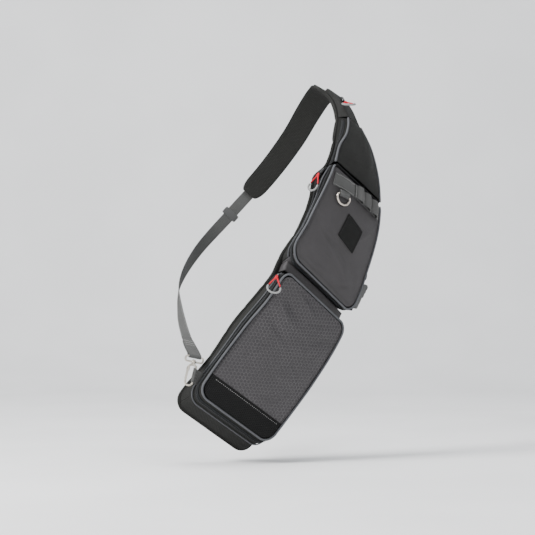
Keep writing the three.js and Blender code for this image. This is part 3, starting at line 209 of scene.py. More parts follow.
def along(column, s):
    """Cubic through one column of the outline."""
    xs, ys = np.array(OUTLINE["at"], float), np.array(OUTLINE[column], float)
    step, slope = np.diff(xs), np.diff(ys) / np.diff(xs)
    inner = (slope[1:] * step[:-1] + slope[:-1] * step[1:]) / (xs[2:] - xs[:-2])
    m = np.concatenate([[slope[0]], inner, [slope[-1]]])
    x = np.clip(np.asarray(s, float) / BAG_LENGTH, 0, 1)
    i = np.clip(np.searchsorted(xs, x, side="right") - 1, 0, len(xs) - 2)
    t = (x - xs[i]) / step[i]
    return (ys[i] * (1 + 2 * t) * (1 - t) ** 2 + m[i] * step[i] * t * (1 - t) ** 2
            + ys[i + 1] * t * t * (3 - 2 * t) + m[i + 1] * step[i] * t * t * (t - 1))


def depth_at(s):
    return BAG_DEPTH * along("depth", s)


def edge_at(where, s, side):
    """Front or back edge of the bag across it, on the left where side is below 0."""
    side = np.asarray(side)
    return HALF_WIDTH * np.where(side < 0, -along(where + "Left", s), along(where + "Right", s))


def mix(a, b, t):
    return a + (b - a) * t


def front_out(name, p, r, creases=True):
    """How far the front of a pocket stands out, at p down it and r across it."""
    pocket = POCKETS[name]
    s = mix(pocket["top"], pocket["end"], p)
    out = depth_at(s) + pocket["crown"] * (1 - np.abs(2 * p - 1) ** 3) * (1 - r * r)
    half = (edge_at("front", s, 1) - edge_at("front", s, -1)) / 2
    fade = np.minimum(1, 2 * (1 - np.abs(r)))
    for fp, fr, angle, reach, spread, rise in FOLDS[name] + (CREASES[name] if creases else []):
        turn = math.radians(angle)
        x, y = (r - fr) * half, (p - fp) * (pocket["end"] - pocket["top"])
        lengthwise = (x * math.cos(turn) - y * math.sin(turn)) / (reach * HALF_WIDTH)
        sideways = (x * math.sin(turn) + y * math.cos(turn)) / (spread * HALF_WIDTH)
        out = out + rise * HALF_WIDTH * fade * np.exp(-(lengthwise ** 2) - sideways ** 2)
    return out


def front_at(name, s, a):
    """The outer side of a pocket's front at s along the bag and a across it, without its finer creases."""
    pocket = POCKETS[name]
    p = np.clip((s - pocket["top"]) / (pocket["end"] - pocket["top"]), 0, 1)
    return front_out(name, p, a / np.abs(edge_at("front", s, a)), creases=False) + CLOTH / 2


def corner_share(pocket, p):
    radius = np.where(p < 0.5, pocket["topCorner"], pocket["endCorner"]) + 1e-6
    reach = radius / (pocket["end"] - pocket["top"])
    into = np.maximum(0, reach - np.minimum(p, 1 - p)) / reach
    return 1 - (radius / HALF_WIDTH) * (1 - np.sqrt(np.maximum(0, 1 - into * into)))


def noise_field(points, size, seed):
    """Smooth seeded noise in -1 to 1 at each point, with features of a size in millimetres."""
    flat = points.reshape(-1, 3) / size + seed * 17.3
    return np.array([noise.noise(Vector(p)) for p in flat]).reshape(points.shape[:-1])


# Meshes
def mesh_object(name, points, faces, uv=None):
    """A smooth object in metres from points in millimetres, with its flat coordinates as a UV map."""
    mesh = bpy.data.meshes.new(name)
    mesh.from_pydata((np.asarray(points) * MM).tolist(), [], faces)
    if uv is not None:
        layer = mesh.uv_layers.new(name="flat")
        index = np.zeros(len(mesh.loops), dtype=np.int32)
        mesh.loops.foreach_get("vertex_index", index)
        layer.data.foreach_set("uv", (np.asarray(uv)[index] * MM).astype(np.float32).ravel())
    mesh.shade_smooth()
    build = bmesh.new()
    build.from_mesh(mesh)
    bmesh.ops.recalc_face_normals(build, faces=build.faces)
    build.to_mesh(mesh)
    build.free()
    obj = bpy.data.objects.new(name, mesh)
    bpy.context.scene.collection.objects.link(obj)
    return obj


def grid_faces(rows, columns, start=0, flip=False):
    faces = []
    for i in range(rows - 1):
        for j in range(columns - 1):
            a = start + i * columns + j
            quad = (a, a + 1, a + columns + 1, a + columns)
            faces.append(quad[::-1] if flip else quad)
    return faces


def sheet_object(name, outer, inner, uv):
    """A closed sheet between two grids of points."""
    rows, columns = outer.shape[:2]
    count = rows * columns
    faces = grid_faces(rows, columns) + grid_faces(rows, columns, count, True)
    rim = ([(0, j) for j in range(columns)] + [(i, columns - 1) for i in range(1, rows)]
           + [(rows - 1, j) for j in range(columns - 2, -1, -1)] + [(i, 0) for i in range(rows - 2, 0, -1)])
    ids = [i * columns + j for i, j in rim]
    for a, b in zip(ids, ids[1:] + ids[:1]):
        faces.append((a, b, b + count, a + count))
    points = np.vstack([outer.reshape(-1, 3), inner.reshape(-1, 3)])
    flat = uv.reshape(-1, 2)
    return mesh_object(name, points, faces, np.vstack([flat, flat]))


def tube_object(name, points, diameter, sides=10, loop=False):
    """A round tube through points, with u round it and v along it."""
    points = np.asarray(points, float)
    count = len(points)
    way = (np.roll(points, -1, 0) - np.roll(points, 1, 0)) if loop else np.gradient(points, axis=0)
    way /= np.linalg.norm(way, axis=1)[:, None]
    up = points[0] - points.mean(0)
    rings, lengths = [], np.concatenate([[0], np.cumsum(np.linalg.norm(np.diff(points, axis=0), axis=1))])
    angles = np.linspace(0, 2 * math.pi, sides, endpoint=False)
    for k in range(count):
        up = up - way[k] * np.dot(up, way[k])
        up /= np.linalg.norm(up)
        aside = np.cross(way[k], up)
        spoke = np.cos(angles)[:, None] * up + np.sin(angles)[:, None] * aside
        rings.append(points[k] + diameter / 2 * spoke)
    faces = [(k * sides + j, k * sides + (j + 1) % sides, (k + 1) % count * sides + (j + 1) % sides,
              (k + 1) % count * sides + j) for k in range(count if loop else count - 1) for j in range(sides)]
    if not loop:
        faces += [tuple(range(sides))[::-1], tuple((count - 1) * sides + j for j in range(sides))]
    uv = [(diameter * math.pi * j / sides, lengths[k]) for k in range(count) for j in range(sides)]
    return mesh_object(name, np.vstack(rings), faces, np.array(uv))


def smooth_line(points, count):
    """The same line with evenly spaced points."""
    points = np.asarray(points, float)
    s = np.concatenate([[0], np.cumsum(np.linalg.norm(np.diff(points, axis=0), axis=1))])
    t = np.linspace(0, s[-1], count)
    return np.stack([np.interp(t, s, points[:, k]) for k in range(points.shape[1])], 1)


def pocket_ring(name, side_count, end_count, corner_count):
    """Places (p, r) round a pocket from the middle of its top by the left, and its half turned corners."""
    pocket = POCKETS[name]
    length = pocket["end"] - pocket["top"]
    points, half_turned = [(0.0, 0.0)], []

    def edge(p, r, count):
        p0, r0 = points[-1]
        points.extend((mix(p0, p, t), mix(r0, r, t)) for t in np.linspace(0, 1, count + 1)[1:-1])

    def corner(radius, p, r, start):
        rp, rr = radius / length, radius / HALF_WIDTH
        turns = np.linspace(start, start + math.pi / 2, corner_count + 1)
        if radius == 0:
            turns = [start + math.pi / 4]
        half_turned.append(len(points) + (len(turns) - 1) // 2)
        for turn in turns:
            cp, cr = (rp if p == 0 else 1 - rp), (-1 + rr if r < 0 else 1 - rr)
            points.append((p, r) if radius == 0 else (cp - rp * math.cos(turn), cr - rr * math.sin(turn)))

    top, end = pocket["topCorner"], pocket["endCorner"]
    edge(0, -(1 - top / HALF_WIDTH), end_count // 2)
    corner(top, 0, -1, 0)
    edge(1 - end / length, -1, side_count)
    corner(end, 1, -1, math.pi / 2)
    edge(1, 1 - end / HALF_WIDTH, end_count)
    corner(end, 1, 1, math.pi)
    edge(top / length, 1, side_count)
    corner(top, 0, 1, 1.5 * math.pi)
    edge(0, 0, end_count // 2)
    return name, np.array(points), half_turned


def wall_points(ring, t, lift):
    """Points of a pocket's wall at one share of its depth, moved out by lift, and their s and n."""
    name, points, _ = ring
    pocket = POCKETS[name]
    p, r = points[:, 0], points[:, 1]
    s_front = mix(pocket["top"], pocket["end"], p)
    s_back = mix(pocket["backTop"], pocket["backEnd"], p)
    s = mix(s_front, s_back, t)
    a = np.abs(r) * mix(edge_at("front", s_front, r), edge_at("back", s_back, r), t)
    n = mix(depth_at(s_front) - PIPING / 2 - GAP, PADDING + GAP, t)
    ds, da = np.roll(s, -1) - np.roll(s, 1), np.roll(a, -1) - np.roll(a, 1)
    size = np.hypot(ds, da)
    return worn(s + lift * da / size, a - lift * ds / size, n)


def ring_length(points):
    return np.concatenate([[0], np.cumsum(np.linalg.norm(np.diff(points, axis=0), axis=1))])


RINGS = {
    "lower": pocket_ring("lower", 72, 48, 16),
    "upper": pocket_ring("upper", 60, 44, 16),
    "shoulder": pocket_ring("shoulder", 44, 20, 8),
}


# Node trees
class Tree:
    """Short hands for building a node tree whose sockets are named."""

    def __init__(self, tree):
        self.tree = tree

    def node(self, kind, values=None, **settings):
        node = self.tree.nodes.new(kind)
        for key, value in settings.items():
            setattr(node, key, value)
        for key, value in (values or {}).items():
            if isinstance(value, bpy.types.NodeSocket):
                self.tree.links.new(value, node.inputs[key])
            else:
                node.inputs[key].default_value = value
        return node

    def math(self, operation, a, b=0.0):
        return self.node("ShaderNodeMath", {0: a, 1: b}, operation=operation).outputs[0]

    def vector(self, operation, a, b=(0, 0, 0), c=(0, 0, 0)):
        values = {0: a, 1: b, 2: c} if operation == "WRAP" else {0: a, 1: b}
        node = self.node("ShaderNodeVectorMath", values, operation=operation)
        return node.outputs["Value" if operation in ("LENGTH", "DOT_PRODUCT") else "Vector"]

    def ramp(self, value, low, high, to_low=0.0, to_high=1.0):
        return self.node("ShaderNodeMapRange", {
            "Value": value, "From Min": low, "From Max": high, "To Min": to_low, "To Max": to_high,
        }, interpolation_type="SMOOTHSTEP").outputs["Result"]


def new_group(name, kind, inputs, outputs):
    group = bpy.data.node_groups.new(name, kind)
    for socket_name, socket_type, default in inputs:
        socket = group.interface.new_socket(socket_name, in_out="INPUT", socket_type=socket_type)
        if default is not None:
            socket.default_value = default
    for socket_name, socket_type in outputs:
        group.interface.new_socket(socket_name, in_out="OUTPUT", socket_type=socket_type)
    return group, Tree(group)


def honeycomb_group():
    """Hexagons of a pitch in metres: Wall is 1 between the cells, Height rises towards their middles."""
    group, tree = new_group("Honeycomb", "ShaderNodeTree",
                            [("Vector", "NodeSocketVector", None), ("Pitch", "NodeSocketFloat", 0.0075)],
                            [("Wall", "NodeSocketFloat"), ("Height", "NodeSocketFloat")])
    enter, leave = tree.node("NodeGroupInput"), tree.node("NodeGroupOutput")
    scale = tree.node("ShaderNodeCombineXYZ", {0: enter.outputs["Pitch"], 1: enter.outputs["Pitch"], 2: 1.0})
    place = tree.vector("DIVIDE", enter.outputs["Vector"], scale.outputs[0])
    half = (0.5, math.sqrt(3) / 2, 1.0)
    low = tuple(-h for h in half)
    first = tree.vector("WRAP", place, half, low)
    second = tree.vector("WRAP", tree.vector("SUBTRACT", place, (half[0], half[1], 0)), half, low)
    nearer = tree.math("LESS_THAN", tree.vector("LENGTH", first), tree.vector("LENGTH", second))
    cell = tree.node("ShaderNodeMix", {"Factor": nearer}, data_type="VECTOR")
    tree.tree.links.new(second, cell.inputs[4])
    tree.tree.links.new(first, cell.inputs[5])
    parts = tree.node("ShaderNodeSeparateXYZ", {0: tree.vector("ABSOLUTE", cell.outputs[1])})
    slanted = tree.math("ADD", tree.math("MULTIPLY", parts.outputs[0], 0.5),
                        tree.math("MULTIPLY", parts.outputs[1], half[1]))
    reach = tree.math("MAXIMUM", parts.outputs[0], slanted)
    tree.tree.links.new(tree.ramp(reach, 0.36, 0.46), leave.inputs["Wall"])
    tree.tree.links.new(tree.ramp(reach, 0.18, 0.48, 1.0, 0.0), leave.inputs["Height"])
    return group


def weave_group():
    """A plain weave of a pitch in metres, longer along one way by Stretch."""
    group, tree = new_group("Weave", "ShaderNodeTree",
                            [("Vector", "NodeSocketVector", None), ("Pitch", "NodeSocketFloat", 0.001),
                             ("Stretch", "NodeSocketFloat", 1.0)],
                            [("Wall", "NodeSocketFloat"), ("Height", "NodeSocketFloat")])
    enter, leave = tree.node("NodeGroupInput"), tree.node("NodeGroupOutput")
    parts = tree.node("ShaderNodeSeparateXYZ", {0: enter.outputs["Vector"]})
    turns = tree.math("DIVIDE", 2 * math.pi, enter.outputs["Pitch"])
    x = tree.math("SINE", tree.math("MULTIPLY", parts.outputs[0], turns))
    along_stretch = tree.math("DIVIDE", parts.outputs[1], enter.outputs["Stretch"])
    y = tree.math("SINE", tree.math("MULTIPLY", along_stretch, turns))
    cross = tree.math("MULTIPLY", x, y)
    tree.tree.links.new(tree.ramp(cross, -0.6, 0.6), leave.inputs["Height"])
    tree.tree.links.new(tree.ramp(cross, 0.0, 0.9), leave.inputs["Wall"])
    return group


def wear_group():
    """Slow changes of shade from handling, and fine specks of lint."""
    group, tree = new_group("Wear", "ShaderNodeTree",
                            [("Vector", "NodeSocketVector", None), ("Amount", "NodeSocketFloat", 0.15)],
                            [("Shade", "NodeSocketFloat"), ("Grain", "NodeSocketFloat")])
    enter, leave = tree.node("NodeGroupInput"), tree.node("NodeGroupOutput")
    slow = tree.node("ShaderNodeTexNoise", {"Vector": enter.outputs["Vector"], "Scale": 22.0, "Detail": 5.0})
    fine = tree.node("ShaderNodeTexNoise", {"Vector": enter.outputs["Vector"], "Scale": 900.0, "Detail": 2.0})
    both = tree.math("ADD", tree.math("SUBTRACT", slow.outputs[0], 0.5),
                     tree.math("MULTIPLY", tree.math("SUBTRACT", fine.outputs[0], 0.5), 1.4))
    swing = tree.math("MULTIPLY", both, tree.math("MULTIPLY", enter.outputs["Amount"], 2.0))
    shade = tree.math("ADD", 1.0, swing)
    tree.tree.links.new(shade, leave.inputs["Shade"])
    tree.tree.links.new(fine.outputs[0], leave.inputs["Grain"])
    return group


def seam_group():
    """Puts one rounded stitch or zip tooth on each point, along the point's way and facing its out."""
    group, tree = new_group("Along A Seam", "GeometryNodeTree",
                            [("Geometry", "NodeSocketGeometry", None),
                             ("Size", "NodeSocketVector", (0.003, 0.0008, 0.0006)),
                             ("Material", "NodeSocketMaterial", None)],
                            [("Geometry", "NodeSocketGeometry")])
    enter, leave = tree.node("NodeGroupInput"), tree.node("NodeGroupOutput")
    way = tree.node("GeometryNodeInputNamedAttribute", {"Name": "way"}, data_type="FLOAT_VECTOR").outputs[0]
    out = tree.node("GeometryNodeInputNamedAttribute", {"Name": "out"}, data_type="FLOAT_VECTOR").outputs[0]
    first = tree.node("FunctionNodeAlignRotationToVector", {"Vector": way}, axis="X")
    both = tree.node("FunctionNodeAlignRotationToVector", {"Rotation": first.outputs[0], "Vector": out},
                     axis="Z", pivot_axis="X")
    bead = tree.node("GeometryNodeMeshUVSphere", {"Segments": 6, "Rings": 4, "Radius": 0.5})
    placed = tree.node("GeometryNodeInstanceOnPoints", {
        "Points": enter.outputs["Geometry"], "Instance": bead.outputs["Mesh"],
        "Rotation": both.outputs[0], "Scale": enter.outputs["Size"],
    })
    real = tree.node("GeometryNodeRealizeInstances", {"Geometry": placed.outputs[0]})
    dressed = tree.node("GeometryNodeSetMaterial", {
        "Geometry": real.outputs[0], "Material": enter.outputs["Material"],
    })
    tree.tree.links.new(dressed.outputs[0], leave.inputs["Geometry"])
    return group


def sewn(name, places, size, material):
    """One plain mesh of stitches or teeth on the places, each a point, a way and an out."""
    points, ways, outs = (np.concatenate([place[k] for place in places]) for k in range(3))
    mesh = bpy.data.meshes.new(name + "_places")
    mesh.from_pydata((points * MM).tolist(), [], [])
    for key, values in (("way", ways), ("out", outs)):
        layer = mesh.attributes.new(key, "FLOAT_VECTOR", "POINT")
        layer.data.foreach_set("vector", values.astype(np.float32).ravel())
    source = bpy.data.objects.new(name + "_source", mesh)
    bpy.context.scene.collection.objects.link(source)
    modifier = source.modifiers.new("Seam", "NODES")
    modifier.node_group = GROUPS["seam"]
    ids = {item.name: item.identifier for item in modifier.node_group.interface.items_tree
           if item.in_out == "INPUT"}
    modifier[ids["Size"]] = [v * MM for v in size]
    modifier[ids["Material"]] = material
    bpy.context.view_layer.update()
    shape = source.evaluated_get(bpy.context.evaluated_depsgraph_get())
    done = bpy.data.meshes.new_from_object(shape)
    bpy.data.objects.remove(source)
    if not done.materials:
        done.materials.append(material)
    done.shade_smooth()
    obj = bpy.data.objects.new(name, done)
    bpy.context.scene.collection.objects.link(obj)
    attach(obj, "bag")
    return obj


def seam(place, params, pitch, start=0.5):
    """Evenly spaced places along place(t, lift), with their ways and outs."""
    line, above = place(params, 0.0), place(params, 1.0)
    length = np.concatenate([[0], np.cumsum(np.linalg.norm(np.diff(line, axis=0), axis=1))])
    t = np.arange(pitch * start, length[-1], pitch)
    at = np.stack([np.interp(t, length, line[:, k]) for k in range(3)], 1)
    ahead = np.stack([np.interp(t + 0.5, length, line[:, k]) for k in range(3)], 1)
    behind = np.stack([np.interp(t - 0.5, length, line[:, k]) for k in range(3)], 1)
    up = np.stack([np.interp(t, length, above[:, k]) for k in range(3)], 1)
    way, out = ahead - behind, up - at
    return at, way / np.linalg.norm(way, axis=1)[:, None], out / np.linalg.norm(out, axis=1)[:, None]


# The shader groups and the materials by name, filled by the first operator
GROUPS, FINISH = {}, {}

# Specular level of plain cloth, and of the coated cloths of the fronts
CLOTH_GLOSS = 0.14
COATED_GLOSS = {"honeycomb_cloth": 0.42, "upper_cloth": 0.34, "shoulder_cloth": 0.22}

CLOTHS = {  # base and light colours, roughness, pattern, pitch in mm, stretch, bump in mm, coordinates
    "shoulder_cloth": ((0.014, 0.014, 0.013), (0.034, 0.034, 0.032), 0.82, "weave", 1.6, 1.0, 0.35, "flat"),
    "upper_cloth": ((0.036, 0.033, 0.034), (0.060, 0.056, 0.058), 0.56, "weave", 1.3, 1.6, 0.25, "flat"),
    "honeycomb_cloth": ((0.026, 0.023, 0.025), (0.056, 0.052, 0.054), 0.50,
                        "honeycomb", 7.5, 1.0, 0.8, "flat"),
    "band_cloth": ((0.003, 0.003, 0.003), (0.012, 0.012, 0.012), 0.7, "honeycomb", 4.2, 1.0, 0.5, "flat"),
    "mesh": ((0.026, 0.026, 0.024), (0.005, 0.005, 0.005), 0.9, "honeycomb", 3.6, 1.0, 0.8, "flat"),
    "piping": ((0.085, 0.087, 0.093), (0.135, 0.138, 0.145), 0.65, "weave", 1.2, 2.0, 0.25, "flat"),
    "zip": ((0.016, 0.017, 0.018), (0.032, 0.033, 0.034), 0.75, "weave", 0.9, 1.0, 0.15, "flat"),
    "webbing": ((0.070, 0.070, 0.068), (0.130, 0.130, 0.126), 0.78, "weave", 1.5, 2.4, 0.35, "flat"),
    "tab_webbing": ((0.075, 0.075, 0.073), (0.125, 0.125, 0.121), 0.78, "weave", 1.8, 1.0, 0.3, "object"),
    "black_webbing": ((0.008, 0.008, 0.008), (0.022, 0.022, 0.022), 0.75, "weave", 1.8, 1.0, 0.3, "object"),
    "badge": ((0.005, 0.005, 0.0045), (0.011, 0.011, 0.010), 0.5, "weave", 0.8, 1.0, 0.1, "flat"),
    "cord": ((0.52, 0.012, 0.025), (0.75, 0.03, 0.05), 0.6, "weave", 0.9, 1.5, 0.2, "object"),
    "stitch_light": ((0.30, 0.30, 0.29), (0.42, 0.42, 0.40), 0.7, "weave", 0.5, 1.0, 0.05, "object"),
    "stitch_dark": ((0.020, 0.020, 0.020), (0.045, 0.045, 0.045), 0.7, "weave", 0.5, 1.0, 0.05, "object"),
    "teeth": ((0.020, 0.020, 0.021), (0.035, 0.035, 0.036), 0.4, "weave", 0.8, 1.0, 0.05, "object"),
}
HARDS = {  # colour, metallic, roughness, coat
    "ring_metal": ((0.60, 0.54, 0.47), 1.0, 0.30, 0.0),
    "nickel": ((0.52, 0.48, 0.42), 1.0, 0.34, 0.0),
    "slider_metal": ((0.012, 0.012, 0.012), 0.6, 0.35, 0.3),
    "plastic": ((0.055, 0.055, 0.054), 0.0, 0.45, 0.1),
    "grip": ((0.215, 0.215, 0.212), 0.0, 0.5, 0.0),
}


def cloth_material(name, base, light, roughness, pattern, pitch, stretch, bump, coordinates):
    material = bpy.data.materials.new(name)
    material.use_nodes = True
    tree = Tree(material.node_tree)
    shader = material.node_tree.nodes["Principled BSDF"]
    own = tree.node("ShaderNodeTexCoord").outputs["Object"]
    place = tree.node("ShaderNodeUVMap", uv_map="flat").outputs[0] if coordinates == "flat" else own
    cells = tree.node("ShaderNodeGroup", node_tree=GROUPS[pattern])
    material.node_tree.links.new(place, cells.inputs["Vector"])
    cells.inputs["Pitch"].default_value = pitch * MM
    if pattern == "weave":
        cells.inputs["Stretch"].default_value = stretch
    wear = tree.node("ShaderNodeGroup", node_tree=GROUPS["wear"])
    material.node_tree.links.new(own, wear.inputs["Vector"])
    worn_off = tree.ramp(wear.outputs["Shade"], 0.9, 1.1, 0.55, 1.0)
    kept = tree.math("MULTIPLY", cells.outputs["Wall"], worn_off)
    blend = tree.node("ShaderNodeMix", {"Factor": kept}, data_type="RGBA")
    blend.inputs[6].default_value = (*base, 1)
    blend.inputs[7].default_value = (*light, 1)
    shaded = tree.vector("MULTIPLY", blend.outputs[2], tree.node(
        "ShaderNodeCombineXYZ", {k: wear.outputs["Shade"] for k in range(3)}).outputs[0])
    height = tree.math("ADD", cells.outputs["Height"], tree.math("MULTIPLY", wear.outputs["Grain"], 0.4))
    raised = tree.node("ShaderNodeBump", {"Height": height, "Distance": bump * MM, "Strength": 0.9})
    links = material.node_tree.links
    links.new(shaded, shader.inputs["Base Color"])
    links.new(raised.outputs[0], shader.inputs["Normal"])
    links.new(tree.math("MULTIPLY", wear.outputs["Shade"], roughness), shader.inputs["Roughness"])
    shader.inputs["Specular IOR Level"].default_value = COATED_GLOSS.get(name, CLOTH_GLOSS)
    material.diffuse_color = (*base, 1)
    return material


def hard_material(name, colour, metallic, roughness, coat):
    material = bpy.data.materials.new(name)
    material.use_nodes = True
    tree = Tree(material.node_tree)
    shader = material.node_tree.nodes["Principled BSDF"]
    own = tree.node("ShaderNodeTexCoord").outputs["Object"]
    wear = tree.node("ShaderNodeGroup", node_tree=GROUPS["wear"])
    links = material.node_tree.links
    links.new(own, wear.inputs["Vector"])
    wear.inputs["Amount"].default_value = 0.10
    tint = tree.vector("MULTIPLY", (*colour,), tree.node(
        "ShaderNodeCombineXYZ", {k: wear.outputs["Shade"] for k in range(3)}).outputs[0])
    links.new(tint, shader.inputs["Base Color"])
    scratched = tree.ramp(wear.outputs["Grain"], 0.35, 0.7, roughness * 0.8, roughness * 1.35)
    links.new(scratched, shader.inputs["Roughness"])
    raised = tree.node("ShaderNodeBump", {
        "Height": wear.outputs["Grain"], "Distance": 0.05 * MM, "Strength": 0.5,
    })
    links.new(raised.outputs[0], shader.inputs["Normal"])
    shader.inputs["Metallic"].default_value = metallic
    shader.inputs["Coat Weight"].default_value = coat
    material.diffuse_color = (*colour, 1)
    return material


def finish(obj, material, slot, *nodes, body="bag"):
    """Gives a piece its material and its body, and hides the nodes that it stands for; the slot is not used.
    """
    obj.data.materials.clear()
    obj.data.materials.append(FINISH[material])
    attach(obj, body)
    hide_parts(*nodes)
    return obj


# Pieces of the bag
def side_of(r):
    return np.where(np.asarray(r) < 0, -1, 1)


def front_panel(node, name, first, last, rows, columns, material, slot):
    """A cloth front with its folds, creases and the puckers along its seams."""
    pocket = POCKETS[name]
    length = pocket["end"] - pocket["top"]
    inset = (PIPING / 2 + SEAM_GAP) / length
    t = np.linspace(0, 1, rows)
    share = mix(first, last, t - 0.08 * np.sin(2 * math.pi * t))[:, None]
    u = np.linspace(-1, 1, columns)
    r = (u + 0.09 * np.sin(math.pi * u))[None, :]
    p = mix(inset, 1 - inset, share)
    s = mix(pocket["top"], pocket["end"], p)
    corner = corner_share(pocket, share)
    edge = edge_at("front", s, r)
    lean = np.hypot(1, edge_at("front", s + 1, r) - edge)
    a = np.abs(r) * (edge * corner - side_of(r) * lean * (PIPING / 2 + SEAM_GAP))
    n = front_out(name, p, r * corner) + CLOTH / 2
    s, a, n = np.broadcast_arrays(s, a, n)
    from_edge = np.minimum((1 - np.abs(r)) * HALF_WIDTH, np.minimum(p, 1 - p) * length)
    flat = np.stack([s, a, np.zeros_like(s)], -1)
    slow, ripple = noise_field(flat, 34, 1), noise_field(flat, 9, 2)
    n = n + 1.2 * slow * np.minimum(1, from_edge / 10) + 0.8 * ripple * np.exp(-from_edge / 10)
    n = n - 0.7 * np.exp(-((from_edge / 2.5) ** 2))
    panel = sheet_object(node + "_cloth", worn(s, a, n), worn(s, a, n - CLOTH), np.stack([s, a], -1))
    return finish(panel, material, slot, node)


def ring_slice(values, first, last):
    count = len(values)
    return values[[k % count for k in range(first, last + 1)]]


def wall(node, name, first, last, t_from, t_to, steps, lift, thick, material, slot, sag=0.0):
    """A strip of a pocket's wall, between two shares of its depth, sagging a little in the middle."""
    ring = RINGS[name]
    outer, inner, flat = [], [], []
    for t in np.linspace(t_from, t_to, steps):
        bow = -sag * math.sin(math.pi * (t - t_from) / (t_to - t_from))
        line = ring_slice(wall_points(ring, t, lift + thick), first, last)
        move = ring_slice(wall_points(ring, t, lift + thick + 1), first, last) - line
        along_it = ring_length(line)
        dip = bow * (0.6 + 0.4 * noise_field(line, 40, 4))[:, None]
        outer.append(line + move * dip)
        inner.append(ring_slice(wall_points(ring, t, lift), first, last) + move * dip)
        flat.append(np.stack([along_it, np.full(len(line), t * BAG_DEPTH)], -1))
    strip = sheet_object(node + "_cloth", np.array(outer), np.array(inner), np.array(flat))
    return finish(strip, material, slot, node)


def piping_points(name, first, last):
    pocket, points = POCKETS[name], RINGS[name][1]
    p, r = points[:, 0], points[:, 1]
    s = mix(pocket["top"], pocket["end"], p)
    return ring_slice(worn(s, np.abs(r) * edge_at("front", s, r), depth_at(s)), first, last)


def pocket_walls():
    a, b, c, d = RINGS["lower"][2]
    count = len(RINGS["lower"][1])
    for node, first, last in (("lower_side_left", a, b), ("lower_foot", b, c), ("lower_side_right", c, d)):
        wall(node, "lower", first, last, 0, 1, 22, -CLOTH, CLOTH, "mesh", "mesh_cloth", 1.2)
    wall("lower_top_wall", "lower", d, count + a, 0, 1, 16, -CLOTH, CLOTH, "mesh", "mesh_cloth", 1.0)
    a, b, c, d = RINGS["upper"][2]
    wall("upper_side_left", "upper", a, b, 0, 1, 22, -CLOTH, CLOTH, "mesh", "mesh_cloth", 1.2)
    wall("upper_foot", "upper", b, c, 0, 1, 16, -CLOTH, CLOTH, "upper_cloth", "pocket_cloth", 1.0)
    wall("upper_side_right", "upper", c, d, 0, 1, 22, -CLOTH, CLOTH, "mesh", "mesh_cloth", 1.2)
    a, b, c, d = RINGS["shoulder"][2]
    wall("shoulder_side_left", "shoulder", a, b, 0, 1, 16, -CLOTH, CLOTH, "mesh", "mesh_cloth", 0.6)
    wall("shoulder_side_right", "shoulder", c, d, 0, 1, 16, -CLOTH, CLOTH, "mesh", "mesh_cloth", 0.6)


def pipings():
    count = len(RINGS["lower"][1])
    pieces = [("lower_piping", piping_points("lower", 0, count - 1), True)]
    a, _, _, d = RINGS["upper"][2]
    pieces.append(("upper_piping", piping_points("upper", a, d), False))
    a, b, c, d = RINGS["shoulder"][2]
    pieces.append(("shoulder_piping_left", piping_points("shoulder", a, b), False))
    pieces.append(("shoulder_piping_right", piping_points("shoulder", c, d), False))
    for node, points, loop in pieces:
        finish(tube_object(node + "_cord", points, PIPING, 12, loop), "piping", "piping", node)
    for node, name, last in (("lower_rib", "lower", 3), ("upper_rib", "upper", 1)):
        ring = RINGS[name]
        line = ring_slice(wall_points(ring, RIB_SHARES[name], GAP + RIB / 2), ring[2][0], ring[2][last])
        finish(tube_object(node + "_cord", line, RIB, 10), "piping", "piping", node)
    r = np.linspace(-0.93, 0.93, 60)
    line = worn(np.full(60, SEAM_AT), np.abs(r) * edge_at("front", np.full(60, SEAM_AT), r),
                depth_at(SEAM_AT) + SEAM_CORD_LIFT)
    finish(tube_object("seam_cord_round", line, SEAM_CORD, 10), "black_webbing", "black_webbing", "seam_cord")
    across_bag("seam_cord_allowance", np.linspace(SEAM_AT - SEAM_ALLOWANCE, SEAM_AT + SEAM_ALLOWANCE, 6),
               lambda s, r: depth_at(s) - SEAM_CORD / 2 - CLOTH + 0 * r, 0.95,
               "black_webbing", "black_webbing", "seam_cord")


def zip_teeth(name, shares, first, last):
    middle = (shares[0] + shares[1]) / 2

    def place(_, lift):
        return ring_slice(wall_points(RINGS[name], middle, GAP + ZIP_THICK + 0.2 + lift), first, last)
    return seam(place, None, TOOTH_PITCH)


def zips():
    la, _, _, ld = RINGS["lower"][2]
    ua, ub, _, ud = RINGS["upper"][2]
    sa, sb = RINGS["shoulder"][2][:2]
    rows = [
        ("lower_zip", "lower", ZIP_SHARES["lower"], la, ld),
        ("upper_zip", "upper", ZIP_SHARES["upper"], ua, ud),
        ("shoulder_zip", "shoulder", ZIP_SHARES["shoulder"], sa + 4, sb),
        ("main_zip", "upper", MAIN_ZIP, ua, ub - 14),
    ]
    for node, name, shares, first, last in rows:
        wall(node, name, first, last, *shares, 6, GAP, ZIP_THICK, "zip", "zip")
        sewn(node + "_teeth", [zip_teeth(name, shares, first, last)], TOOTH, FINISH["teeth"])


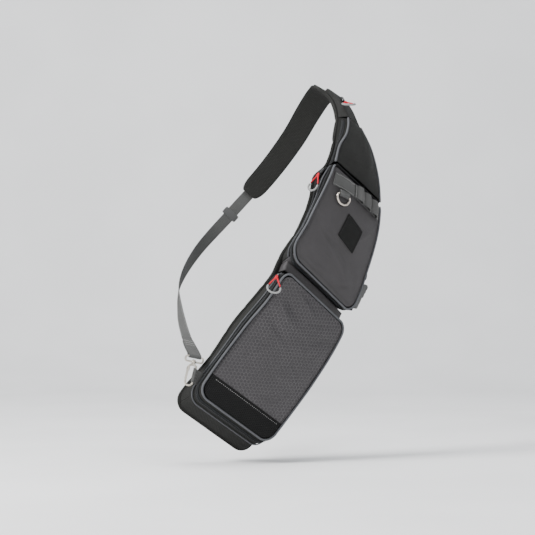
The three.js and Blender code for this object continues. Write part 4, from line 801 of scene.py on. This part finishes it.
def back_panel():
    """The padded mesh panel on the wearer's back, quilted in soft rolls."""
    lip, corner = 3, 30
    t = np.linspace(0, 1, 170)
    s = (4 + (BAG_LENGTH - 4) * np.sin(t * math.pi / 2) ** 0.9)[:, None]
    u = np.linspace(-1, 1, 44)[None, :]
    r = u + 0.06 * np.sin(math.pi * u)
    into = np.clip((s - (BAG_LENGTH - corner)) / corner, 0, 1)
    cut = corner * (1 - np.sqrt(1 - into * into))
    a = np.abs(r) * (edge_at("back", s, r) + side_of(r) * (lip - cut))
    s, a = np.broadcast_arrays(s, a)
    from_edge = np.minimum((1 - np.abs(r)) * 60, BAG_LENGTH - s + 0.5)
    roll = 1.6 * np.exp(-from_edge / 2.2)
    quilt = 2.2 * (1 - np.abs(np.sin(math.pi * s / 58))) ** 5
    obj = sheet_object("back_panel_pad", worn(s, a, PADDING - roll), worn(s, a, roll + quilt),
                       np.stack([s, a], -1))
    finish(obj, "mesh", "mesh_cloth", "back_panel")


def strap_pad():
    """The padded strap over the shoulder, with a rounded end."""
    end_length, taper, end_narrowing = 30, 0.12, 0.45
    s = np.concatenate([-PAD_LENGTH + end_length * np.linspace(0, 1, 24) ** 2,
                        np.linspace(-PAD_LENGTH + end_length, 3.4, 90)[1:]])[:, None]
    into = np.clip((-PAD_LENGTH + end_length - s) / end_length, 0, 1)
    narrowing = end_narrowing * (1 - np.sqrt(1 - into ** 2))
    half = PAD_WIDTH / 2 * (1 - taper * (-s / PAD_LENGTH)) * (1 - narrowing)
    r = np.sin(np.linspace(-1, 1, 30) * math.pi / 2)[None, :]
    top = PAD_THICK * (0.62 + 0.38 * (1 - np.abs(r) ** 6))
    ribs = 0.5 * (1 - np.abs(np.sin(math.pi * s / 42))) ** 6 * (1 - r * r)
    s, a, top, ribs = np.broadcast_arrays(s, r * half, top, ribs)
    low = 0.9 * np.abs(r) ** 8 + 0.2 * (1 - r * r)
    obj = sheet_object("strap_pad_foam", worn(s, a, top - ribs), worn(s, a, low), np.stack([s, a], -1))
    finish(obj, "mesh", "mesh_cloth", "strap_pad")


def top_hood():
    hood_top, wall_share = 34, 0.7
    s = np.linspace(hood_top, SHOULDER_TOP - GAP, 60)[:, None]
    r = np.linspace(-1, 1, 56)[None, :]
    rim = edge_at("back", s, r)
    shoulder = np.minimum(np.abs(edge_at("front", s, r)), np.abs(rim)) * side_of(r)
    t = np.abs(r)
    over = np.clip((t - wall_share) / (1 - wall_share), 0, 1)
    a = np.where(t < wall_share, shoulder * t / wall_share, mix(shoulder, rim, over))
    top = depth_at(s) + CLOTH / 2
    edge_round = 1.6 * np.exp(-(((t - wall_share) / 0.08) ** 2))
    n = mix(top, PADDING + GAP + CLOTH, over) - edge_round
    s, a, n = np.broadcast_arrays(s, a, n)
    hood = sheet_object("top_hood_cloth", worn(s, a, n), worn(s, a, n - CLOTH), np.stack([s, a], -1))
    finish(hood, "shoulder_cloth", "shoulder_cloth", "top_hood")


def across_bag(name, s, top, share, material, slot, node):
    """Cloth across the bag between two pockets: over the top and down both sides to the back panel."""
    s = s[:, None]
    r = np.linspace(-1.6, 1.6, 121)[None, :]
    down = np.clip((np.abs(r) - 1) / 0.6, 0, 1)
    inner = np.clip(r, -1, 1)
    front, back = edge_at("front", s, r), edge_at("back", s, r)
    a = mix(np.abs(inner) * share * mix(front, back, 0.25), share * back, down)
    n = mix(top(s, inner), PADDING + GAP + CLOTH, down)
    s, a, n = np.broadcast_arrays(s, a, n)
    inwards = side_of(r) * CLOTH * np.minimum(1, np.abs(r) ** 6)
    under = worn(s, a - inwards, n - CLOTH * (1 - down))
    return finish(sheet_object(name, worn(s, a, n), under, np.stack([s, a + n * side_of(r) * down], -1)),
                  material, slot, node)


def valley_band():
    from_upper, from_lower = 4.8, 3.6
    s = np.linspace(UPPER_END + from_upper, LOWER_TOP - from_lower, 12)
    across_bag("valley_band_cloth", s, lambda s, r: VALLEY_DEPTH * (1 - 0.1 * r * r) + 0 * s, 0.93,
               "upper_cloth", "pocket_cloth", "valley_band")


def strip_s(s, a):
    return s + STRIP_SWEEP * np.minimum(0, a) ** 2


def loop_lift(a):
    within = (a - LOOP_LEFT) % LOOP_PITCH
    share = np.clip((within - LOOP_FLAT) / (LOOP_PITCH - LOOP_FLAT), 0, 1)
    arch = np.where(a >= LOOP_END, 0, np.abs(np.sin(math.pi * share)) ** 0.6)
    return LAID + WEBBING_THICK + LAID + LOOP_RISE * arch


def loops():
    """Webbing across the upper pocket, and the second layer that stands up in loops."""
    def over(name, low, high, places, lift, node):
        s0, a = np.meshgrid(np.linspace(low, high, 14), places, indexing="ij")
        s = strip_s(s0, a)
        rounded = 0.35 * (np.abs(np.linspace(-1, 1, 14)) ** 8)[:, None]
        n = front_at("upper", s, a) + lift(a) + WEBBING_THICK
        obj = sheet_object(name, worn(s, a, n - rounded), worn(s, a, n - WEBBING_THICK + rounded),
                           np.stack([s0, a], -1))
        finish(obj, "webbing", "webbing", node)
    over("loop_strip_webbing", STRIP_TOP, STRIP_TOP + WEBBING, np.linspace(STRIP_LEFT, STRIP_RIGHT, 120),
         lambda a: LAID, "loop_strip")
    near_seams = np.array([0, 0.1, 0.3, 0.8, 21.2, 21.7, 21.9])
    starts = [LOOP_LEFT + k * LOOP_PITCH + LOOP_FLAT for k in range(LOOP_COUNT)]
    even = np.linspace(LOOP_LEFT, LOOP_END + LOOP_FLAT, 180)
    places = np.unique(np.concatenate([even] + [start + near_seams for start in starts]))
    over("webbing_loops_webbing", STRIP_TOP + LAID, STRIP_TOP + WEBBING - LAID, places, loop_lift,
         "webbing_loops")


def badge_place(x, y, lift):
    s = BADGE_AT + y * math.cos(BADGE_TURN) - x * math.sin(BADGE_TURN)
    a = BADGE_ACROSS + x * math.cos(BADGE_TURN) + y * math.sin(BADGE_TURN)
    return worn(s, a, front_at("upper", s, a) + LAID + lift)


def badge():
    """A square patch, left bare, with a raised edge and softly rounded corners."""
    u = np.sin(np.linspace(-1, 1, 40) * math.pi / 2) * BADGE / 2
    x, y = np.meshgrid(u, u)
    corner = 3.5
    out_x, out_y = np.abs(x) - (BADGE / 2 - corner), np.abs(y) - (BADGE / 2 - corner)
    both = (out_x > 0) & (out_y > 0)
    pull = np.where(both, corner / np.maximum(np.hypot(out_x, out_y), corner), 1)
    x = np.where(both, np.sign(x) * (BADGE / 2 - corner + out_x * pull), x)
    y = np.where(both, np.sign(y) * (BADGE / 2 - corner + out_y * pull), y)
    edge = BADGE / 2 - np.maximum(np.abs(x), np.abs(y))
    rim = 0.8 * np.exp(-(((edge - 2.2) / 1.0) ** 2)) - 0.6 * np.exp(-((edge / 0.6) ** 2))
    obj = sheet_object("badge_patch", badge_place(x, y, BADGE_THICK + rim), badge_place(x, y, 0),
                       np.stack([x, y], -1))
    finish(obj, "badge", "badge", "badge")


def strap_webbing():
    """The strap's webbing from under the pad's end down the chest and round the ring, as a flat band."""
    turn = STRAP_RING_WIRE / 2 + GAP + WEBBING_THICK / 2
    pad_top = PAD_THICK + GAP + WEBBING_THICK / 2
    sewn_to = -PAD_LENGTH + SEWN_OVERLAP
    way = [(s, pad_top) for s in np.linspace(sewn_to, -PAD_LENGTH, 14)]
    way += [(-PAD_LENGTH - 8, PAD_THICK * 0.7), (-PAD_LENGTH - 20, 2.6)]
    way += [(s, ON_BODY) for s in np.linspace(-PAD_LENGTH - 34, STRAP_END + DOUBLED + STRAP_TURN, 90)]
    way += [(s, turn) for s in np.linspace(STRAP_END + DOUBLED, STRAP_END + STRAP_TURN, 16)]
    way += [(STRAP_END + turn * math.cos(t), turn * math.sin(t))
            for t in np.linspace(math.pi / 2, 1.5 * math.pi, 20)]
    back = np.linspace(STRAP_END + STRAP_TURN, STRAP_END + DOUBLED, 16)
    way += [(back[0], -turn)] + [(s, -turn + STRAP_DRAWN_IN) for s in back[1:]]
    way = smooth_line(way, 420)
    on = np.gradient(way, axis=0)
    on /= np.linalg.norm(on, axis=1)[:, None]
    across = np.stack([-on[:, 1], on[:, 0]], 1) * WEBBING_THICK / 2
    r = np.sin(np.linspace(-1, 1, 14) * math.pi / 2)[None, :] * WEBBING / 2
    thin = 1 - 0.4 * np.abs(r / (WEBBING / 2)) ** 8

    def layer(side):
        return worn(way[:, :1] + side * across[:, :1] * thin, r, way[:, 1:] + side * across[:, 1:] * thin)
    run = ring_length(way)[:, None]
    obj = sheet_object("strap_webbing_band", layer(1), layer(-1), np.stack([run + 0 * r, r + 0 * run], -1))
    finish(obj, "webbing", "webbing", "strap_webbing")


def smooth_copy(node, material, slot, levels, body="bag", bevel=0.0, crease_angle=None, swell=0.0):
    """A finer copy of a CAD node: wires and cords are rounded, and blocks are bevelled."""
    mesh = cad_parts[node].data.copy()
    mesh.name = node + "_fine"
    build = bmesh.new()
    build.from_mesh(mesh)
    bmesh.ops.remove_doubles(build, verts=build.verts, dist=1e-5)
    if bevel:
        bmesh.ops.dissolve_limit(build, angle_limit=math.radians(2), verts=build.verts, edges=build.edges)
        sharp = [e for e in build.edges if len(e.link_faces) == 2 and e.calc_face_angle(0) > math.radians(30)]
        bmesh.ops.bevel(build, geom=sharp, offset=bevel * MM, segments=2, profile=0.5, affect="EDGES",
                        clamp_overlap=True)
    else:
        build.normal_update()
        for vert in build.verts:
            vert.co += vert.normal * swell * MM
        bmesh.ops.join_triangles(build, faces=build.faces, angle_face_threshold=math.radians(50),
                                 angle_shape_threshold=math.radians(60))
        if crease_angle is not None:
            crease = build.edges.layers.float.new("crease_edge")
            for edge in build.edges:
                if len(edge.link_faces) == 2 and edge.calc_face_angle(0) > math.radians(crease_angle):
                    edge[crease] = 0.9
    build.to_mesh(mesh)
    build.free()
    obj = bpy.data.objects.new(node + "_fine", mesh)
    bpy.context.scene.collection.objects.link(obj)
    if levels:
        modifier = obj.modifiers.new("Round", "SUBSURF")
        modifier.levels = modifier.render_levels = levels
        bpy.context.view_layer.update()
        done = bpy.data.meshes.new_from_object(obj.evaluated_get(bpy.context.evaluated_depsgraph_get()))
        obj.modifiers.clear()
        obj.data = done
    obj.data.shade_smooth()
    if bevel:
        obj.data.set_sharp_from_angle(angle=math.radians(35))
    return finish(obj, material, slot, node, body=body)


def stitches():
    light, dark = [], []

    def strip_edge(s0):
        def place(a, lift):
            s = strip_s(np.full_like(a, s0), a)
            return worn(s, a, front_at("upper", s, a) + LAID + WEBBING_THICK + 0.15 + lift)
        return place
    bare = [np.linspace(STRIP_LEFT + 2, LOOP_LEFT - 1, 30),
            np.linspace(LOOP_END + LOOP_FLAT + 1, STRIP_RIGHT - 1, 8)]
    for span in bare:
        light += [seam(strip_edge(s0), span, 4.2) for s0 in (STRIP_TOP + 2.5, STRIP_TOP + WEBBING - 2.5)]
    for k in range(LOOP_COUNT + 1):
        a0 = LOOP_LEFT + k * LOOP_PITCH + LOOP_FLAT / 2

        def across(s0, lift, a0=a0):
            a = np.full_like(s0, a0)
            s = strip_s(s0, a)
            return worn(s, a, front_at("upper", s, a) + 2 * (LAID + WEBBING_THICK) + 0.15 + lift)
        light.append(seam(across, np.linspace(STRIP_TOP + 1.5, STRIP_TOP + WEBBING - 1.5, 12), 3.4))
    side = BADGE / 2 - 4.2
    for turn in range(4):
        def badge_edge(t, lift, turn=turn):
            x, y = t, np.full_like(t, side)
            for _ in range(turn):
                x, y = -y, x
            return badge_place(x, y, BADGE_THICK + 0.2 + lift)
        dark.append(seam(badge_edge, np.linspace(-side, side, 16), 3.6))
    for name, first, last in (("upper", 0.03, 0.97), ("lower", 0.05, 0.95), ("shoulder", 0.03, 0.97)):
        pocket = POCKETS[name]
        for sign in (-1, 1):
            def edge_row(s, lift, sign=sign, name=name):
                a = edge_at("front", s, sign) - sign * 6.5
                return worn(s, a, front_at(name, s, a) + 0.25 + lift)
            span = mix(pocket["top"], pocket["end"], np.linspace(first, last, 90))
            dark.append(seam(edge_row, span, 4.6))

    def cross_row(name, s0):
        def place(r, lift):
            s = np.full_like(r, s0)
            a = np.abs(r) * edge_at("front", s, r)
            return worn(s, a, front_at(name, s, a) + 0.35 + lift)
        return place
    across = np.linspace(-0.86, 0.86, 60)
    dark.append(seam(cross_row("lower", LOWER_END - BAND_HEIGHT - 3), across, 4.4))
    light.append(seam(cross_row("lower", LOWER_END - BAND_HEIGHT + 3.5), across, 4.4))
    dark.append(seam(cross_row("upper", UPPER_END - 10), across, 4.4))
    dark.append(seam(cross_row("shoulder", SEAM_AT - 9), across, 4.2))
    for a0 in (-WEBBING / 2 + 2.2, WEBBING / 2 - 2.2):
        def strap_row(s, lift, a0=a0):
            return worn(s, np.full_like(s, a0), ON_BODY + WEBBING_THICK / 2 + 0.1 + lift)
        light.append(seam(strap_row, np.linspace(-PAD_LENGTH - 75, STRAP_END + DOUBLED + 20, 160), 4.4))
    for s0 in (DOUBLED - 6, DOUBLED - 18, DOUBLED - 30):
        def strap_cross(a, lift, s0=s0):
            turn = STRAP_RING_WIRE / 2 + GAP + WEBBING_THICK
            return worn(np.full_like(a, STRAP_END + s0), a, turn + 0.1 + lift)
        light.append(seam(strap_cross, np.linspace(-WEBBING / 2 + 2, WEBBING / 2 - 2, 10), 3.0))
    for a0 in (-PAD_WIDTH / 2 + 8, PAD_WIDTH / 2 - 8):
        def pad_row(s, lift, a0=a0):
            return worn(s, np.full_like(s, a0 * 0.94), PAD_THICK + 0.1 + lift)
        dark.append(seam(pad_row, np.linspace(-PAD_LENGTH + 26, -5, 90), 4.6))
    sewn("light_stitches", light, LIGHT_STITCH, FINISH["stitch_light"])
    sewn("dark_stitches", dark, DARK_STITCH, FINISH["stitch_dark"])


# Stage
def camera_and_light(settings):
    scene = bpy.context.scene
    camera = bpy.data.cameras.new("camera")
    camera.lens, camera.sensor_width = settings.lens, 36
    camera.clip_end = 50
    eye = bpy.data.objects.new("camera", camera)
    eye.location = (settings.eye_x, settings.eye_y, settings.eye_z)
    eye.rotation_euler = (math.pi / 2, 0, 0)
    scene.collection.objects.link(eye)
    scene.camera = eye
    floor_z = CAD_BOX[0][2] - 0.02
    mesh = bpy.data.meshes.new("floor")
    back, lift, turn = 1.8, 4.0, 24
    bends = [k / turn * math.pi / 2 for k in range(turn + 1)]
    curve = [(back + math.sin(bend), 1 - math.cos(bend)) for bend in bends]
    profile = [(-6.0, 0.0)] + curve + [(back + 1, lift)]
    points = [(x, y, floor_z + z) for y, z in profile for x in (-5.0, 5.0)]
    mesh.from_pydata(points, [], [(2 * k, 2 * k + 1, 2 * k + 3, 2 * k + 2) for k in range(len(profile) - 1)])
    mesh.shade_smooth()
    floor = bpy.data.objects.new("floor", mesh)
    paper = bpy.data.materials.new("floor")
    paper.use_nodes = True
    tree = Tree(paper.node_tree)
    shader = paper.node_tree.nodes["Principled BSDF"]
    own = tree.node("ShaderNodeTexCoord").outputs["Object"]
    grain = tree.node("ShaderNodeTexNoise", {"Vector": own, "Scale": 3.0})
    paper.node_tree.links.new(tree.ramp(grain.outputs[0], 0.3, 0.7, 0.82, 0.86), shader.inputs["Base Color"])
    shader.inputs["Roughness"].default_value = 0.9
    mesh.materials.append(paper)
    scene.collection.objects.link(floor)
    for name, place, aim, size, power in (
            ("key", (-2.3, -1.5, 1.7), (-0.1, -0.1, -0.35), 1.0, settings.key),
            ("fill", (2.4, -2.2, 0.4), (-0.1, -0.1, -0.35), 2.4, settings.fill),
            ("top", (0.2, -0.2, 2.4), (-0.1, -0.1, -0.35), 1.8, settings.top)):
        data = bpy.data.lights.new(name, "AREA")
        data.shape, data.size, data.energy = "SQUARE", size, power
        lamp = bpy.data.objects.new(name, data)
        lamp.location = place
        lamp.rotation_euler = (Vector(aim) - Vector(place)).to_track_quat("-Z", "Y").to_euler()
        scene.collection.objects.link(lamp)
    world = bpy.data.worlds.new("studio")
    world.use_nodes = True
    world.node_tree.nodes["Background"].inputs["Color"].default_value = (0.9, 0.94, 1.0, 1)
    world.node_tree.nodes["Background"].inputs["Strength"].default_value = settings.world
    scene.world = world


def length_prop(name, description, default):
    return bpy.props.FloatProperty(name=name, description=description, default=default, unit="LENGTH")


def power_prop(name, description, default):
    return bpy.props.FloatProperty(name=name, description=description, default=default, min=0)


def colour_prop(name, default):
    label = name.replace("_", " ")
    return bpy.props.FloatVectorProperty(name=label.capitalize(), description="Main colour of the " + label,
                                         default=default, size=3, min=0, max=1, subtype="COLOR")


class BagStage(bpy.types.PropertyGroup):
    lens: bpy.props.FloatProperty(name="Lens", description="Focal length in millimetres", default=117.8)
    eye_x: length_prop("Eye X", "Camera across", -0.119)
    eye_y: length_prop("Eye Y", "Camera behind the wearer", -3.7)
    eye_z: length_prop("Eye Z", "Camera height", -0.367)
    key: power_prop("Key", "Power of the key light in watts", 190.0)
    fill: power_prop("Fill", "Power of the fill light in watts", 40.0)
    top: power_prop("Top", "Power of the top light in watts", 60.0)
    world: power_prop("World", "Strength of the world light", 0.6)


class BagCloth(bpy.types.PropertyGroup):
    rows: bpy.props.IntProperty(name="Rows", description="Rows of faces down the lower front",
                                default=150, min=20)
    columns: bpy.props.IntProperty(name="Columns", description="Faces across a front", default=104, min=20)


class BagColours(bpy.types.PropertyGroup):
    """Main colours of the finishes, one property for each row of the two tables"""
    __annotations__ = {name: colour_prop(name, row[0]) for name, row in (CLOTHS | HARDS).items()}


class BAG_OT_materials(bpy.types.Operator):
    """Build the pattern groups and the materials"""
    bl_idname = "bag.materials"
    bl_label = "Materials"

    def execute(self, context):
        GROUPS.update(honeycomb=honeycomb_group(), weave=weave_group(), wear=wear_group(), seam=seam_group())
        colours = context.scene.bag_colours
        for name, row in CLOTHS.items():
            FINISH[name] = cloth_material(name, tuple(getattr(colours, name)), *row[1:])
        for name, row in HARDS.items():
            FINISH[name] = hard_material(name, tuple(getattr(colours, name)), *row[1:])
        return {"FINISHED"}


class BAG_OT_fronts(bpy.types.Operator):
    """Model the cloth fronts of the pockets"""
    bl_idname = "bag.fronts"
    bl_label = "Pocket Fronts"

    def execute(self, context):
        size = context.scene.bag_cloth
        share = 1 - BAND_HEIGHT / (LOWER_END - LOWER_TOP)
        gap = GAP / (LOWER_END - LOWER_TOP)
        columns = size.columns
        front_panel("shoulder_front_panel", "shoulder", 0, 1, 80, 70, "shoulder_cloth", "shoulder_cloth")
        front_panel("upper_front_panel", "upper", 0, 1, 120, columns, "upper_cloth", "pocket_cloth")
        front_panel("lower_front_panel", "lower", 0, share, size.rows, columns,
                    "honeycomb_cloth", "pocket_cloth")
        front_panel("lower_band", "lower", share + gap, 1, 40, columns, "band_cloth", "band_cloth")
        return {"FINISHED"}


class BAG_OT_body(bpy.types.Operator):
    """Model the walls, zips, piping, hood and the padded back"""
    bl_idname = "bag.body"
    bl_label = "Walls And Back"

    def execute(self, context):
        pocket_walls()
        pipings()
        zips()
        back_panel()
        top_hood()
        valley_band()
        return {"FINISHED"}


class BAG_OT_strap(bpy.types.Operator):
    """Model the padded strap and its webbing"""
    bl_idname = "bag.strap"
    bl_label = "Strap"

    def execute(self, context):
        strap_pad()
        strap_webbing()
        return {"FINISHED"}


class BAG_OT_trim(bpy.types.Operator):
    """Model the loops, the badge, the tabs and the stitches"""
    bl_idname = "bag.trim"
    bl_label = "Trim"

    def execute(self, context):
        loops()
        badge()
        for node in ("ring_tab", "hook_tab"):
            smooth_copy(node, "tab_webbing", "webbing", 2, crease_angle=60)
        for node in ("side_strap", "side_tab"):
            smooth_copy(node, "black_webbing", "black_webbing", 2, crease_angle=60)
        stitches()
        return {"FINISHED"}


class BAG_OT_hardware(bpy.types.Operator):
    """Round the wires, sliders, pulls and the buckle"""
    bl_idname = "bag.hardware"
    bl_label = "Hardware"

    def execute(self, context):
        smooth_copy("d_ring", "ring_metal", "metal", 2, body="d_ring_body", swell=0.33)
        smooth_copy("snap_hook", "nickel", "nickel", 2, crease_angle=50, swell=0.2)
        smooth_copy("strap_ring", "nickel", "nickel", 2, crease_angle=50, swell=0.22)
        smooth_copy("hook_gate", "nickel", "nickel", 0, body="hook_gate_body", bevel=0.3)
        for pull in ("lower", "main", "shoulder"):
            smooth_copy("slider_" + pull, "slider_metal", "slider", 0, bevel=1.0)
            smooth_copy("pull_cord_" + pull, "cord", "cord", 2, swell=0.4)
            smooth_copy("grip_ring_" + pull, "grip", "grip", 2, swell=0.38)
        smooth_copy("side_buckle", "plastic", "plastic", 0, bevel=0.9)
        smooth_copy("strap_adjuster", "plastic", "plastic", 0, bevel=0.7)
        return {"FINISHED"}


class BAG_OT_stage(bpy.types.Operator):
    """Set up the floor, the lights and the camera"""
    bl_idname = "bag.stage"
    bl_label = "Stage"

    def execute(self, context):
        camera_and_light(context.scene.bag_stage)
        return {"FINISHED"}


OPERATORS = (BAG_OT_materials, BAG_OT_fronts, BAG_OT_body, BAG_OT_strap, BAG_OT_trim, BAG_OT_hardware,
             BAG_OT_stage)


class BAG_PT_panel(bpy.types.Panel):
    """Sidebar panel of the bag"""
    bl_idname = "BAG_PT_panel"
    bl_label = "Sling Bag"
    bl_space_type = "VIEW_3D"
    bl_region_type = "UI"
    bl_category = "Sling Bag"

    def draw(self, context):
        for owner, names in ((context.scene.bag_cloth, ("rows", "columns")),
                             (context.scene.bag_colours, (*CLOTHS, *HARDS)),
                             (context.scene.bag_stage, ("lens", "key", "fill", "top", "world"))):
            for name in names:
                self.layout.prop(owner, name)
        for operator in OPERATORS:
            self.layout.operator(operator.bl_idname)


CLASSES = (BagStage, BagCloth, BagColours, *OPERATORS, BAG_PT_panel)


def register():
    for cls in CLASSES:
        bpy.utils.register_class(cls)
    bpy.types.Scene.bag_stage = bpy.props.PointerProperty(type=BagStage)
    bpy.types.Scene.bag_cloth = bpy.props.PointerProperty(type=BagCloth)
    bpy.types.Scene.bag_colours = bpy.props.PointerProperty(type=BagColours)


def unregister():
    del bpy.types.Scene.bag_colours
    del bpy.types.Scene.bag_cloth
    del bpy.types.Scene.bag_stage
    for cls in reversed(CLASSES):
        bpy.utils.unregister_class(cls)


def main():
    register()
    bpy.ops.bag.materials()
    bpy.ops.bag.fronts()
    bpy.ops.bag.body()
    bpy.ops.bag.strap()
    bpy.ops.bag.trim()
    bpy.ops.bag.hardware()
    bpy.ops.bag.stage()


if __name__ == "__main__":
    main()
